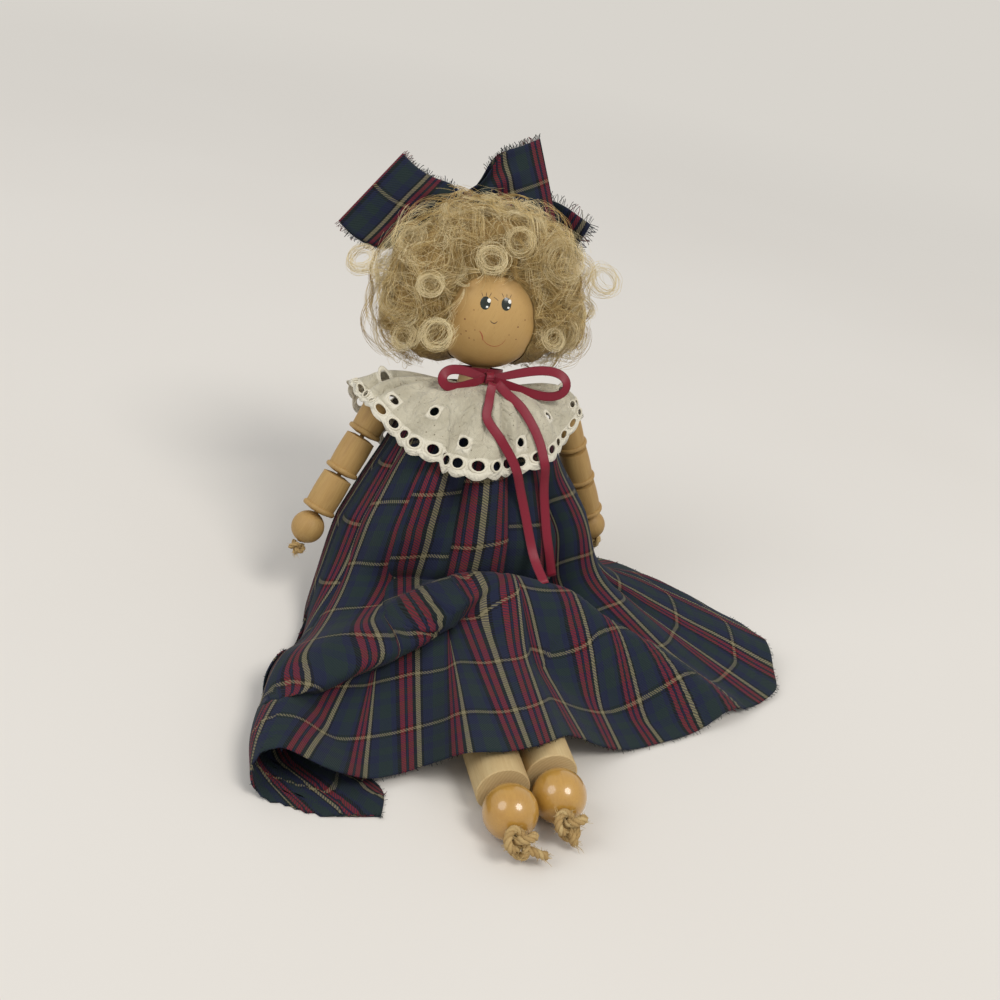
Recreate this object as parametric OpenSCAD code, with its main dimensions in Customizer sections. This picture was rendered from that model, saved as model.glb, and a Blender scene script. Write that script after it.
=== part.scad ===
// Strung wooden doll, sitting: ball head on a turned body, dowel legs and barrel arms
// threaded on twine, in a gathered plaid dress with a lace collar.
// Frame: millimetres, +Z up, the doll faces -Y, the floor is z = 0 and the origin lies
// on the floor under the middle of the whole doll. Left and right are the viewer's.

/* [Body] */
// Length of the turned body
body_len = 86; // [80:1:92]
// Largest diameter of the body, at the chest
chest_d = 42; // [38:1:44]
// Diameter of the body at its waist
waist_d = 34; // [32:1:38]
// Diameter of the body at its base
base_d = 37; // [34:1:40]
// Rounding of the edge of the base
base_round = 6; // [4:0.5:8]
// Height of the waist above the base
waist_up = 31; // [28:1:34]
// Height of the chest above the base
chest_up = 64; // [58:1:66]
// Diameter of the flat at the top of the body
top_d = 18; // [16:1:20]
// Wood left between the neck peg's hole and the shoulder twine's hole
peg_wall = 1.5; // [1:0.1:2]
// How far the body leans back from upright
lean = 20; // [10:1:30]

/* [Head] */
// Diameter of the head ball
head_d = 50; // [46:1:54]
// Diameter of the neck peg
neck_d = 8; // [6:0.5:10]
// Length of neck peg between the body and the head
neck_show = 3.6; // [3:0.2:6]
// Depth of the neck peg in the head
neck_grip = 14; // [10:1:18]
// Turn of the head on its neck, towards the left
head_turn = 9; // [-20:1:20]

/* [Legs] */
// Diameter of a leg dowel
leg_d = 20; // [18:0.5:21]
// Length of a leg dowel
leg_len = 118; // [112:1:126]
// Bevel on the cut ends of a leg
leg_bevel = 0.4; // [0.2:0.1:1]
// Diameter of a foot bead
foot_d = 20; // [18:0.5:21]
// Bare twine above the right leg
right_slack = 2.2; // [2:0.1:4]
// Bare twine above the left leg
left_slack = 9.7; // [8:0.1:12]
// Depth of the hip twine's cross hole above the base
hip_cross = 20; // [14:1:26]

/* [Arms] */
// Largest diameter of an arm barrel
arm_d = 13.5; // [13:0.5:15]
// Length of an arm barrel
barrel_len = 18.2; // [16:0.2:20]
// Diameter of a barrel at its ends
barrel_end_d = 13; // [12:0.2:13.4]
// Diameter of the turned ring at the foot of a barrel
ring_d = 14.8; // [14:0.2:15.2]
// Height of the turned ring
ring_h = 2.2; // [1.6:0.2:3]
// Height of the dome on each end of a barrel
end_dome = 0.7; // [0.6:0.1:1.4]
// Diameter of a hand bead
hand_d = 14; // [12:0.5:15]
// Half the distance between the shoulders
shoulder_half = 40; // [38:0.5:43]
// Distance of the shoulder twine below the top of the body
shoulder_drop = 11.4; // [10:0.2:13]
// How far the arms slant outwards
arm_slant = 26; // [24:1:30]
// How far the right arm hangs behind the left one
right_back = 22; // [0:1:26]
// Bare twine above an arm
arm_slack = 2.4; // [2:0.1:4]

/* [Twine] */
// Diameter of the leg twine
leg_twine_d = 3; // [2:0.1:3.4]
// Diameter of the arm twine
arm_twine_d = 2; // [1.6:0.1:2.4]
// Size of the foot knots, as the radius of one bight
foot_knot_r = 1.6; // [1.5:0.05:1.8]
// Size of the hand knots, as the radius of one bight
hand_knot_r = 1.06; // [1:0.02:1.2]

/* [Clearances] */
// Radial clearance of a piece that turns on twine or on a peg
turn_clear = 0.1; // [0.05:0.01:0.15]
// Radial clearance of a glued peg
glue_clear = 0.03; // [0.01:0.01:0.05]
// Gap between neighbouring pieces
gap = 0.4; // [0.3:0.05:0.6]

/* [Dress] */
// Thickness of the cloth with its gathers
cloth = 1.6; // [1.2:0.1:2]
// Room between the body and the dress
ease = 3.6; // [3:0.1:5]
// Radius of the gathered neck
neck_r = 13.5; // [13:0.5:15]
// Width of the dress at its armholes
yoke_w = 72; // [66:1:76]
// Width of the dress at its lap
lap_w = 122; // [112:1:126]
// Depth of the dress in front of the body at its lap
lap_front = 34; // [30:1:38]
// Height of the lap above the hip line
lap_h = 15; // [13:0.5:17]
// Depth of an armhole
armhole = 15; // [14:0.5:18]
// Distance of the gathered neck below the top of the body
neck_drop = 5; // [4:0.5:6]
// Number of gathers round the dress
gathers = 15; // [9:1:18]
// Depth of a gather at the lap
gather_depth = 2; // [0.5:0.1:2.4]
// Height of the hem where it lies over the legs
hem_rise = 22.4; // [22:0.1:26]
// Height of the fold across the lap, above the floor
lap_fold = 39; // [36:0.5:42]
// Height of the fold at the rolled left corner, above the floor
corner_fold = 17; // [14:0.5:19]

/* [Collar] */
// Thickness of the lace
lace = 1; // [0.8:0.1:1.2]
// Width of the collar over the shoulders
collar_w = 108; // [104:1:112]
// Distance of the collar's edge in front of the neck
collar_front = 35; // [34:0.5:38]
// Distance of the collar's edge behind the neck
collar_back = 31; // [30:0.5:34]
// Drop of the collar below the neck, in front and behind
collar_drop = 39; // [34:1:42]
// Drop of the collar below the neck at the shoulders
collar_side_drop = 9; // [8:0.5:10]
// Number of ruffles round the collar
ruffles = 14; // [8:1:16]
// Depth of a ruffle at the edge
ruffle_depth = 3; // [1:0.2:4]

/* [Ribbon] */
// Width of the satin ribbon
ribbon_w = 4; // [3:0.2:5]
// Thickness of the satin ribbon
ribbon_t = 0.6; // [0.4:0.1:0.8]
// Reach of the bow's left loop from its knot
left_loop = 21; // [18:1:24]
// Reach of the bow's right loop from its knot
right_loop = 32; // [26:1:34]
// Height of the bow's left loop
left_loop_h = 13; // [11:0.5:15]
// Height of the bow's right loop
right_loop_h = 19; // [15:0.5:21]
// Diameter of the bow's knot
knot_d = 5; // [4.6:0.2:6]
// Length of the ribbon tails below the knot
tail_drop = 75; // [60:1:76]

/* [Hair and hair bow] */
// Reach of the hair from the middle of the head
hair_r = 44; // [40:1:45]
// Height of the curls on the hair
curl = 3; // [0:0.2:3.4]
// Thickness of the hair along the hairline
fringe = 6; // [4:0.5:8]
// Width of the strip that the hair bow is tied from
bow_w = 40; // [36:1:44]
// Reach of the hair bow's left loop
bow_left = 40; // [36:1:46]
// Reach of the hair bow's right loop
bow_right = 26; // [22:1:32]
// Tilt of the hair bow's left loop
bow_left_tilt = 38; // [20:1:45]
// Tilt of the hair bow's right loop
bow_right_tilt = 23; // [10:1:35]
// Rise of the hair bow's right loop above the knot
bow_right_rise = 11; // [4:1:14]
// Length of the hair bow's loose tail
bow_tail = 44; // [36:1:50]
// Drop of the loose tail below the knot
bow_tail_drop = 12; // [6:1:16]
// Thickness of the bow's cloth
bow_t = 1; // [0.8:0.1:1.4]
// Diameter of the hair bow's knot
bow_knot_d = 12; // [10:0.5:14]

/* [Hidden] */

$fn = 64;
LEFT = -1;
RIGHT = 1;

// Middle of the hip line, from the middle of the whole doll
hip_at = [-21.85, 32.64];
// Heights along the body, from the hip line
hip_z = max(leg_d, foot_d) / 2;
leg_x = (max(leg_d, foot_d) + gap) / 2;
base_h = leg_d / 2 + gap;
body_top = base_h + body_len;
head_h = body_top + neck_show + head_d / 2;
shoulder_h = body_top - shoulder_drop;
cross_h = base_h + hip_cross;
neck_foot = shoulder_h + arm_twine_d / 2 + turn_clear + peg_wall;
neck_h = body_top - neck_drop;
chest_r = chest_d / 2 + ease;
barrel_pitch = barrel_len + 2 * gap;

// Colours of the pieces
RAW_WOOD = "#e6cfa4";
TURNED_WOOD = "#b98a5e";
GLOSSY_WOOD = "#c8935a";
TWINE = "#a5834f";
PLAID = "#1d2a3a";
LACE = "#efe8d8";
SATIN = "#6d1524";
BLOND = "#e3c98f";

function lerp(a, b, t) = a + (b - a) * t;
function ease_in_out(t) = t * t * (3 - 2 * t);
function unit(v) = v / norm(v);
// Point seen from the hips, at the body's own place [x, y, height along the body]
function on_body(p) = [
    p.x,
    p.y * cos(lean) + p.z * sin(lean),
    hip_z - p.y * sin(lean) + p.z * cos(lean)
];

module at_hips() {
    translate([hip_at.x, hip_at.y, 0])
        children();
}

module in_body() {
    at_hips()
        translate([0, 0, hip_z])
            rotate([-lean, 0, 0])
                children();
}

module in_head() {
    in_body()
        translate([0, 0, head_h])
            rotate([0, 0, -head_turn])
                children();
}

// Local +Z runs along the leg, from the hip line to the foot
module in_leg(side) {
    at_hips()
        translate([side * leg_x, 0, hip_z])
            rotate([90, 0, 0])
                children();
}

// Local -Z runs along the arm, from the shoulder to the hand
module in_arm(side) {
    in_body()
        translate([side * shoulder_half, 0, shoulder_h])
            rotate([side == RIGHT ? right_back : 0, 0, 0])
                rotate([0, -side * arm_slant, 0])
                    children();
}

function leg_top(side) = side == LEFT ? left_slack : right_slack;
function leg_end(side) = leg_top(side) + leg_len;
function foot_at(side) = leg_end(side) + gap + foot_d / 2;
function twine_end(side) = foot_at(side) + foot_d / 2 + gap / 2;
function barrel_top(row) = -arm_slack - row * barrel_pitch;
function pivot_at(row) = barrel_top(row) + gap;
hand_at = barrel_top(3) + gap - hand_d / 2;

// Faces of a shell between two grids of points, closed all the way round
function grid_faces(rows, cols, first, flip) = [
    for (i = [0:rows - 2], j = [0:cols - 1])
        let (
            a = first + i * cols + j,
            b = first + i * cols + (j + 1) % cols,
            c = a + cols,
            d = b + cols
        )
        each flip ? [[a, d, b], [a, c, d]] : [[a, b, d], [a, d, c]]
];
function rim_faces(cols, outer, inner, flip) = [
    for (j = [0:cols - 1])
        let (a = outer + j, b = outer + (j + 1) % cols, c = inner + j, d = inner + (j + 1) % cols)
        each flip ? [[a, d, b], [a, c, d]] : [[a, b, d], [a, d, c]]
];
function flat_list(rows) = [for (row = rows) each row];

module shell(outer, inner) {
    rows = len(outer);
    cols = len(outer[0]);
    half = rows * cols;
    last = (rows - 1) * cols;
    polyhedron(
        points = concat(flat_list(outer), flat_list(inner)),
        faces = concat(
            grid_faces(rows, cols, 0, false),
            grid_faces(rows, cols, half, true),
            rim_faces(cols, 0, half, true),
            rim_faces(cols, last, half + last, false)
        )
    );
}

// Tube of round section along a closed path
module ring_tube(path, r, sides) {
    n = len(path);
    rows = [
        for (i = [0:n - 1])
            let (
                along = unit(path[(i + 1) % n] - path[(i + n - 1) % n]),
                side = unit(cross(along, [0, 0, 1])),
                up = cross(side, along)
            )
            [
                for (k = [0:sides - 1])
                    let (a = 360 * k / sides)
                    path[i] + r * (side * cos(a) + up * sin(a))
            ]
    ];
    polyhedron(
        points = flat_list(rows),
        faces = [
            for (i = [0:n - 1], k = [0:sides - 1])
                let (
                    a = i * sides + k,
                    b = i * sides + (k + 1) % sides,
                    c = ((i + 1) % n) * sides + k,
                    d = ((i + 1) % n) * sides + (k + 1) % sides
                )
                each [[a, b, d], [a, d, c]]
        ]
    );
}

// Flat strip along a path: half its width and half its thickness are vectors at each point
module strip(path, half_w, half_t) {
    n = len(path);
    last = 4 * (n - 1);
    polyhedron(
        points = [
            for (i = [0:n - 1])
                each [
                    path[i] - half_w[i] - half_t[i],
                    path[i] + half_w[i] - half_t[i],
                    path[i] + half_w[i] + half_t[i],
                    path[i] - half_w[i] + half_t[i]
                ]
        ],
        faces = concat(
            [
                for (i = [0:n - 2], k = [0:3])
                    let (a = 4 * i + k, b = 4 * i + (k + 1) % 4, c = a + 4, d = b + 4)
                    each [[a, d, b], [a, c, d]]
            ],
            [[0, 1, 2], [0, 2, 3], [last, last + 2, last + 1], [last, last + 3, last + 2]]
        )
    );
}

// Wooden pieces of the body and the head
module body_peg() {
    waist_h = base_h + waist_up;
    chest_h = base_h + chest_up;
    steps = 8;
    profile = concat(
        [[0, base_h]],
        [
            for (k = [0:steps])
                let (a = 90 * k / steps)
                [base_d / 2 - base_round + base_round * sin(a), base_h + base_round - base_round * cos(a)]
        ],
        [
            for (k = [1:steps])
                let (t = k / steps)
                [lerp(base_d, waist_d, ease_in_out(t)) / 2, lerp(base_h + base_round, waist_h, t)]
        ],
        [
            for (k = [1:steps])
                let (t = k / steps)
                [lerp(waist_d, chest_d, ease_in_out(t)) / 2, lerp(waist_h, chest_h, t)]
        ],
        [
            for (k = [1:steps])
                let (t = k / steps)
                [lerp(chest_d, top_d, ease_in_out(t)) / 2, lerp(chest_h, body_top, t)]
        ],
        [[0, body_top]]
    );
    color(RAW_WOOD)
        in_body()
            difference() {
                rotate_extrude()
                    polygon(profile);
                translate([0, 0, neck_foot])
                    cylinder(d = neck_d + 2 * glue_clear, h = body_top - neck_foot + 1);
                translate([0, 0, shoulder_h])
                    rotate([0, 90, 0])
                        cylinder(d = arm_twine_d + 2 * turn_clear, h = 2 * chest_d, center = true);
                for (side = [LEFT, RIGHT])
                    translate([side * leg_x, 0, base_h - 1])
                        cylinder(d = leg_twine_d + 2 * turn_clear, h = hip_cross + 1);
                translate([0, 0, cross_h])
                    rotate([0, 90, 0])
                        cylinder(d = leg_twine_d + 2 * turn_clear, h = 2 * chest_d, center = true);
            }
}

module neck_peg() {
    color(RAW_WOOD)
        in_body()
            translate([0, 0, neck_foot + gap])
                cylinder(d = neck_d, h = body_top + neck_show + neck_grip - neck_foot - 2 * gap);
}

module head_ball() {
    color(RAW_WOOD)
        in_head()
            difference() {
                sphere(d = head_d);
                translate([0, 0, -head_d / 2 - neck_show])
                    cylinder(d = neck_d + 2 * turn_clear, h = neck_grip + neck_show);
            }
}

// Twine of the hips and the shoulders, where it runs in the body
module hip_twine() {
    start = leg_twine_d / 2 + gap;
    color(TWINE)
        in_body() {
            for (side = [LEFT, RIGHT])
                translate([side * leg_x, 0, start])
                    cylinder(d = leg_twine_d, h = cross_h - start);
            for (side = [LEFT, RIGHT])
                translate([side * leg_x, 0, cross_h])
                    sphere(d = leg_twine_d);
            translate([0, 0, cross_h])
                rotate([0, 90, 0])
                    cylinder(d = leg_twine_d, h = 2 * leg_x, center = true);
        }
}

module shoulder_twine() {
    reach = shoulder_half - arm_twine_d / 2 - gap;
    color(TWINE)
        in_body()
            translate([0, 0, shoulder_h])
                rotate([0, 90, 0])
                    cylinder(d = arm_twine_d, h = 2 * reach, center = true);
}

// Legs and feet
module leg_dowel(side) {
    color(RAW_WOOD)
        in_leg(side)
            translate([0, 0, leg_top(side)])
                difference() {
                    rotate_extrude()
                        polygon([
                            [0, 0],
                            [leg_d / 2 - leg_bevel, 0],
                            [leg_d / 2, leg_bevel],
                            [leg_d / 2, leg_len - leg_bevel],
                            [leg_d / 2 - leg_bevel, leg_len],
                            [0, leg_len]
                        ]);
                    translate([0, 0, -1])
                        cylinder(d = leg_twine_d + 2 * turn_clear, h = leg_len + 2);
                }
}

module leg_twine(side) {
    color(TWINE)
        in_leg(side) {
            sphere(d = leg_twine_d);
            cylinder(d = leg_twine_d, h = twine_end(side));
        }
}

module foot_bead(side) {
    color(GLOSSY_WOOD)
        in_leg(side)
            translate([0, 0, foot_at(side)])
                difference() {
                    sphere(d = foot_d);
                    cylinder(d = leg_twine_d + 2 * turn_clear, h = 2 * foot_d, center = true);
                }
}

// Overhand knot: three bights of twine drawn round each other
// Height of a knot against one bight, and how thin the knot draws its twine
knot_rise = 1.25;
knot_pull = 0.92;
function knot_path(r, steps) = [
    for (k = [0:steps - 1])
        let (t = 360 * k / steps)
        r * [sin(t) + 2 * sin(2 * t), cos(t) - 2 * cos(2 * t), -knot_rise * sin(3 * t)]
];

module foot_knot(side) {
    high = knot_rise * foot_knot_r + leg_twine_d / 2;
    color(TWINE)
        in_leg(side)
            translate([0, 0, twine_end(side) + high])
                ring_tube(knot_path(foot_knot_r, 36), leg_twine_d * knot_pull / 2, 6);
}

// Arms and hands
module barrel(side, row) {
    steps = 8;
    low = ring_h + end_dome;
    profile = concat(
        [[0, 0], [barrel_end_d / 4, 0], [barrel_end_d / 2, end_dome]],
        [
            for (k = [1:steps])
                let (a = 180 * k / steps)
                [
                    lerp(barrel_end_d, ring_d, sin(a)) / 2,
                    end_dome + ring_h * (1 - cos(a)) / 2
                ]
        ],
        [
            for (k = [1:steps])
                let (t = k / steps)
                [lerp(barrel_end_d, arm_d, sin(180 * t)) / 2, lerp(low, barrel_len - end_dome, t)]
        ],
        [[barrel_end_d / 4, barrel_len], [0, barrel_len]]
    );
    color(TURNED_WOOD)
        in_arm(side)
            translate([0, 0, barrel_top(row) - barrel_len])
                difference() {
                    rotate_extrude()
                        polygon(profile);
                    translate([0, 0, -1])
                        cylinder(d = arm_twine_d + 2 * turn_clear, h = barrel_len + 2);
                }
}

// Twine through one barrel, from the joint above it to the joint below it
module barrel_twine(side, row) {
    start = row == 0 ? 0 : pivot_at(row);
    stop = row == 2 ? hand_at - hand_d / 2 - gap / 2 : pivot_at(row + 1) + arm_twine_d / 2 + gap / 2;
    color(TWINE)
        in_arm(side) {
            translate([0, 0, start])
                sphere(d = arm_twine_d);
            translate([0, 0, stop])
                cylinder(d = arm_twine_d, h = start - stop);
        }
}

module hand_bead(side) {
    color(TURNED_WOOD)
        in_arm(side)
            translate([0, 0, hand_at])
                difference() {
                    sphere(d = hand_d);
                    cylinder(d = arm_twine_d + 2 * turn_clear, h = 2 * hand_d, center = true);
                }
}

module hand_knot(side) {
    high = knot_rise * hand_knot_r + arm_twine_d / 2;
    color(TWINE)
        in_arm(side)
            translate([0, 0, hand_at - hand_d / 2 - gap / 2 - high])
                ring_tube(knot_path(hand_knot_r, 36), arm_twine_d * knot_pull / 2, 6);
}

// Dress: the bodice from the gathered neck to the lap
// Where the hanging arms leave room beside the body at a height
function beside_arm(h) =
    let (arm_r = max(arm_d, ring_d) / 2)
    shoulder_half + (shoulder_h - h) * tan(arm_slant) - arm_r / cos(arm_slant) - gap - gather_depth;
function bodice_half(h) = min(beside_arm(h), lookup(h, [
    [lap_h, lap_w / 2],
    [lerp(lap_h, shoulder_h, 0.25), lap_w / 2 - 2.5],
    [lerp(lap_h, shoulder_h, 0.7), lerp(yoke_w, lap_w, 0.32) / 2],
    [shoulder_h - 4, yoke_w / 2],
    [lerp(shoulder_h, neck_h, 0.5), yoke_w * 0.38],
    [neck_h, neck_r]
]));
function bodice_front(h) = lookup(h, [
    [lap_h, lap_front],
    [lerp(lap_h, shoulder_h, 0.7), lerp(chest_r, lap_front, 0.35)],
    [shoulder_h, chest_r],
    [lerp(shoulder_h, neck_h, 0.5), lerp(chest_r, neck_r, 0.4)],
    [neck_h, neck_r]
]);
function bodice_back(h) = min(bodice_front(h), chest_r);
function bodice_point(a, h, inset) =
    let (
        fold = gather_depth * lerp(1, 0.15, (h - lap_h) / (neck_h - lap_h)) * cos(gathers * a),
        depth = cos(a) > 0 ? bodice_front(h) : bodice_back(h)
    )
    [(bodice_half(h) + fold - inset) * sin(a), -(depth + fold - inset) * cos(a), h];
function bodice_rows(inset) =
    let (rows = 6, cols = 60)
    [
        for (i = [0:rows - 1])
            [
                for (j = [0:cols - 1])
                    let (
                        a = 360 * j / cols,
                        rim = neck_h - armhole * pow(sin(a), 6),
                        h = lerp(rim, lap_h + gap, i / (rows - 1))
                    )
                    bodice_point(a, h, inset)
            ]
    ];

module dress_bodice() {
    color(PLAID)
        in_body()
            shell(bodice_rows(0), bodice_rows(cloth));
}

// Dress: the skirt from the lap to the hem, spread on the floor
// Share of the skirt that lies flat at its hem, and that lies under the bodice, where no fold rises
hem_flat = 0.14;
under_bodice = 0.14;
// Columns round the skirt, as angles from the front, and its rows from the lap to the hem
skirt_turns = [each [0:5:130], each [145:15:265], each [275:5:355]];
skirt_at = [0, 0.5 * under_bodice, under_bodice, 0.22, 0.31, 0.41, 0.52, 0.63, 0.75, 1 - hem_flat, 1];
// Middle of the spread skirt from the hips, and its reach at each angle from the front
skirt_mid = [5, -30];
hem_reach = [
    [0, 88], [4, 84], [9, 80], [13, 78], [23, 78], [31, 80], [39, 84], [53, 96], [65, 111], [72, 123],
    [78, 130], [83, 133], [90, 133], [98, 126], [108, 123], [120, 119], [132, 115], [152, 96],
    [183, 84], [215, 86], [237, 81], [261, 81], [277, 87], [288, 95], [296, 104], [301, 114],
    [305, 121.23], [309, 125], [312, 124], [316, 120], [320, 115], [324, 107], [327, 99], [331, 93],
    [334, 91], [338, 92.5], [341, 94], [345, 94], [351, 92], [360, 88]
];
// Height of the hem at each angle: it lies on the floor, but for the legs and the corners
function hem_height(a) = lookup(a, [
    [0, hem_rise], [5, hem_rise], [9, hem_rise - 2], [13, hem_rise - 5], [17, hem_rise - 9],
    [23, 5 * cloth], [31, 2 * cloth], [39, cloth], [67, cloth], [78, 2.5 * cloth], [86, 5 * cloth],
    [91, 5.5 * cloth], [98, 4 * cloth], [108, 2.2 * cloth], [118, 1.4 * cloth], [130, cloth],
    [280, cloth], [288, 1.5 * cloth], [296, 2.5 * cloth], [305, 4 * cloth], [309, 6 * cloth],
    [312, 8 * cloth], [316, 7.5 * cloth], [320, 5.5 * cloth], [324, 3.2 * cloth], [327, 2.5 * cloth],
    [331, 2.8 * cloth], [334, 5 * cloth], [338, hem_rise - 8], [341, hem_rise - 3], [345, hem_rise],
    [360, hem_rise]
]);
// Crests of the folds from left to right: place from the hips, height, and the fold's reach behind
// and in front of the crest. The first doubles up across the lap and runs out to the right corner
lap_crest = [
    [-40, -40, 0.66 * lap_fold, 9, 9], [-22, -36, 0.87 * lap_fold, 9, 12],
    [-8, -34, 0.95 * lap_fold, 8, 20], [7, -35, lap_fold, 8, 36], [19, -37, lap_fold, 9, 38],
    [36, -41, 0.95 * lap_fold, 12, 38], [47, -49, 0.85 * lap_fold, 16, 34],
    [60, -54, 0.72 * lap_fold, 18, 24], [73, -60, 0.6 * lap_fold, 19, 22],
    [89, -68, 0.42 * lap_fold, 19, 18], [103, -72, 0.23 * lap_fold, 17, 14],
    [114, -73, 0.08 * lap_fold, 15, 10]
];
// The second runs from the rolled left corner up to the lap
left_crest = [
    [-90, -128, corner_fold, 9, 38], [-89, -112, corner_fold, 9, 36],
    [-87, -98, corner_fold + 1, 9, 30], [-82, -80, corner_fold + 3, 12, 22],
    [-73, -66, corner_fold + 5.5, 16, 18], [-58, -58, corner_fold + 8, 16, 17],
    [-37, -47.5, corner_fold + 9.5, 12, 16], [-18, -40, corner_fold + 11.5, 8, 15],
    [0, -36, corner_fold + 14, 8, 12]
];
// The third runs from the right hip to the right corner
right_crest = [
    [62, 0, corner_fold + 5, 8, 22], [76, -1, corner_fold + 5.5, 9, 24],
    [89, -2, corner_fold + 5, 12, 26], [106, -9, corner_fold + 2.5, 20, 26],
    [120, -21, corner_fold - 2.5, 18, 22], [140, -31, corner_fold / 2, 14, 16]
];
function bump(x, wide) = let (t = min(1, abs(x) / wide)) 1 - ease_in_out(t);
// How far a point lies from a piece of a crest, on which side, and the crest's values there
function beside_piece(p, from, to) =
    let (
        along = [to.x - from.x, to.y - from.y],
        t = max(0, min(1, ([p.x - from.x, p.y - from.y] * along) / (along * along))),
        at = lerp(from, to, t),
        off = [p.x - at.x, p.y - at.y]
    )
    [norm(off), off.x * along.y - off.y * along.x, at];
function beside_crest(p, crest) =
    let (
        pieces = [for (i = [1:len(crest) - 1]) beside_piece(p, crest[i - 1], crest[i])],
        least = min([for (piece = pieces) piece[0]])
    )
    [for (piece = pieces) if (piece[0] == least) piece][0];
// How far a fold lifts the cloth at a point that lies at height z without it
function fold_rise(p, z, crest) =
    let (near = beside_crest(p, crest), at = near[2], reach = near[1] > 0 ? at[4] : at[3])
    max(0, at.z - z) * bump(near[0], reach);
// Outer face of the skirt at an angle from the front and a share of the way from the lap to the hem
function skirt_face(a, w) =
    let (
        turn = (a + 360) % 360,
        top = on_body(bodice_point(turn, lap_h - gap, 0)),
        reach = lookup(turn, hem_reach),
        hem = [skirt_mid.x + reach * sin(turn), skirt_mid.y - reach * cos(turn)],
        xy = lerp([top.x, top.y], hem, w),
        free = ease_in_out(min(1, w / under_bodice)),
        plain = lerp(top.z, hem_height(turn), pow(min(1, w / (1 - hem_flat)), 0.9)),
        lapped = plain + free * fold_rise(xy, plain, lap_crest),
        rolled = lapped + free * fold_rise(xy, lapped, left_crest),
        z = rolled + free * fold_rise(xy, rolled, right_crest)
    )
    [xy.x, xy.y, z];
// Inner face, square to the outer one and no lower than the floor
function skirt_lining(a, w) =
    let (
        across = skirt_face(a + 1, w) - skirt_face(a - 1, w),
        down = skirt_face(a, min(1, w + 0.02)) - skirt_face(a, max(0, w - 0.02)),
        lining = skirt_face(a, w) - cloth * unit(cross(down, across))
    )
    [lining.x, lining.y, max(0, lining.z)];

module dress_skirt() {
    color(PLAID)
        at_hips()
            shell(
                [for (w = skirt_at) [for (a = skirt_turns) skirt_face(a, w)]],
                [for (w = skirt_at) [for (a = skirt_turns) skirt_lining(a, w)]]
            );
}

// Lace collar over the shoulders
collar_h = neck_h + cloth;
// Rows from the neck to the edge: where they lie, their half width, their share of the depth,
// and their drop in front and at the shoulders
collar_at = [0, 0.35, 0.65, 1];
collar_wide = [neck_r, 0.29 * collar_w, 0.41 * collar_w, 0.5 * collar_w];
collar_deep = [0, 0.62, 0.86, 1];
collar_fall = [0, 7, 0.52 * collar_drop, collar_drop];
collar_side_fall = [0, 0.3, 2.5, collar_side_drop];
function at_row(t, values) = lookup(t, [for (i = [0:3]) [collar_at[i], values[i]]]);
function collar_point(a, t, inset) =
    let (
        edge = cos(a) > 0 ? collar_front : collar_back,
        wide = at_row(t, collar_wide),
        deep = lerp(neck_r, edge, at_row(t, collar_deep)),
        drop = lerp(at_row(t, collar_fall), at_row(t, collar_side_fall), pow(sin(a), 2)),
        ruffle = ruffle_depth * t * t * (1 + cos(ruffles * a)) / 2
    )
    [
        (wide + ruffle - inset) * sin(a),
        -(deep + ruffle - inset) * cos(a),
        collar_h - drop - inset * 0.7
    ];
function collar_rows(inset) =
    let (rows = 6, cols = 70)
    [
        for (i = [0:rows - 1])
            [for (j = [0:cols - 1]) collar_point(360 * j / cols, i / (rows - 1), inset)]
    ];

module lace_collar() {
    color(LACE)
        in_body()
            shell(collar_rows(0), collar_rows(lace));
}

// Satin ribbon: a band round the neck, and a bow with two loops and two tails
band_r = top_d / 2 + gap;
bow_at = [0, -(band_r + ribbon_t + gap + knot_d / 2), collar_h + knot_d / 2 + 2 * gap];

module neck_ribbon() {
    color(SATIN)
        in_body()
            translate([0, 0, body_top + gap])
                difference() {
                    cylinder(r = band_r + ribbon_t, h = neck_show);
                    translate([0, 0, -1])
                        cylinder(r = band_r, h = neck_show + 2);
                }
}

module ribbon_knot() {
    color(SATIN)
        in_body()
            translate(bow_at)
                sphere(d = knot_d);
}

// Loop of the bow: an upright oval of ribbon that starts and ends at the knot
module ribbon_loop(side, reach, high) {
    steps = 20;
    path = [
        for (k = [0:steps])
            let (a = lerp(-160, 160, k / steps), start = knot_d / 2 + gap)
            bow_at + [
                side * (start + reach * (1 + cos(a)) / 2),
                -reach * 0.2 * (1 + cos(a)),
                high / 2 * sin(a) * (0.6 + 0.4 * cos(a))
            ]
    ];
    out = [for (k = [0:steps]) let (a = lerp(-160, 160, k / steps)) unit([side * cos(a), 0, sin(a)])];
    color(SATIN)
        in_body()
            strip(
                path,
                [for (o = out) [0, -ribbon_w / 2, 0]],
                [for (o = out) side * o * ribbon_t / 2]
            );
}

// Tail of the bow: it falls from the knot over the collar and down the bodice
// How far each tail wanders sideways at each drop below the knot
left_sway = [[0, -2], [6, -3], [17, -5], [25, 2], [34, 8], [49, 15], [65, 20], [81, 22]];
right_sway = [[0, 2], [5, 5], [12, 12], [23, 19], [35, 22], [48, 25], [65, 26], [81, 27]];
// Front of the collar and of the bodice at a height
function collar_face(h) = h < collar_h - collar_drop ? 0 : lookup(h, [
    for (i = [3:-1:0])
        let (front = lerp(neck_r, collar_front, collar_deep[i]))
        [collar_h - collar_fall[i], front + ruffle_depth * pow(collar_at[i], 2)]
]);
function bodice_face(h) = bodice_front(max(lap_h, h)) + gather_depth;
function round_off(front, half, x) = front * sqrt(1 - pow(x / half, 2));

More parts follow.
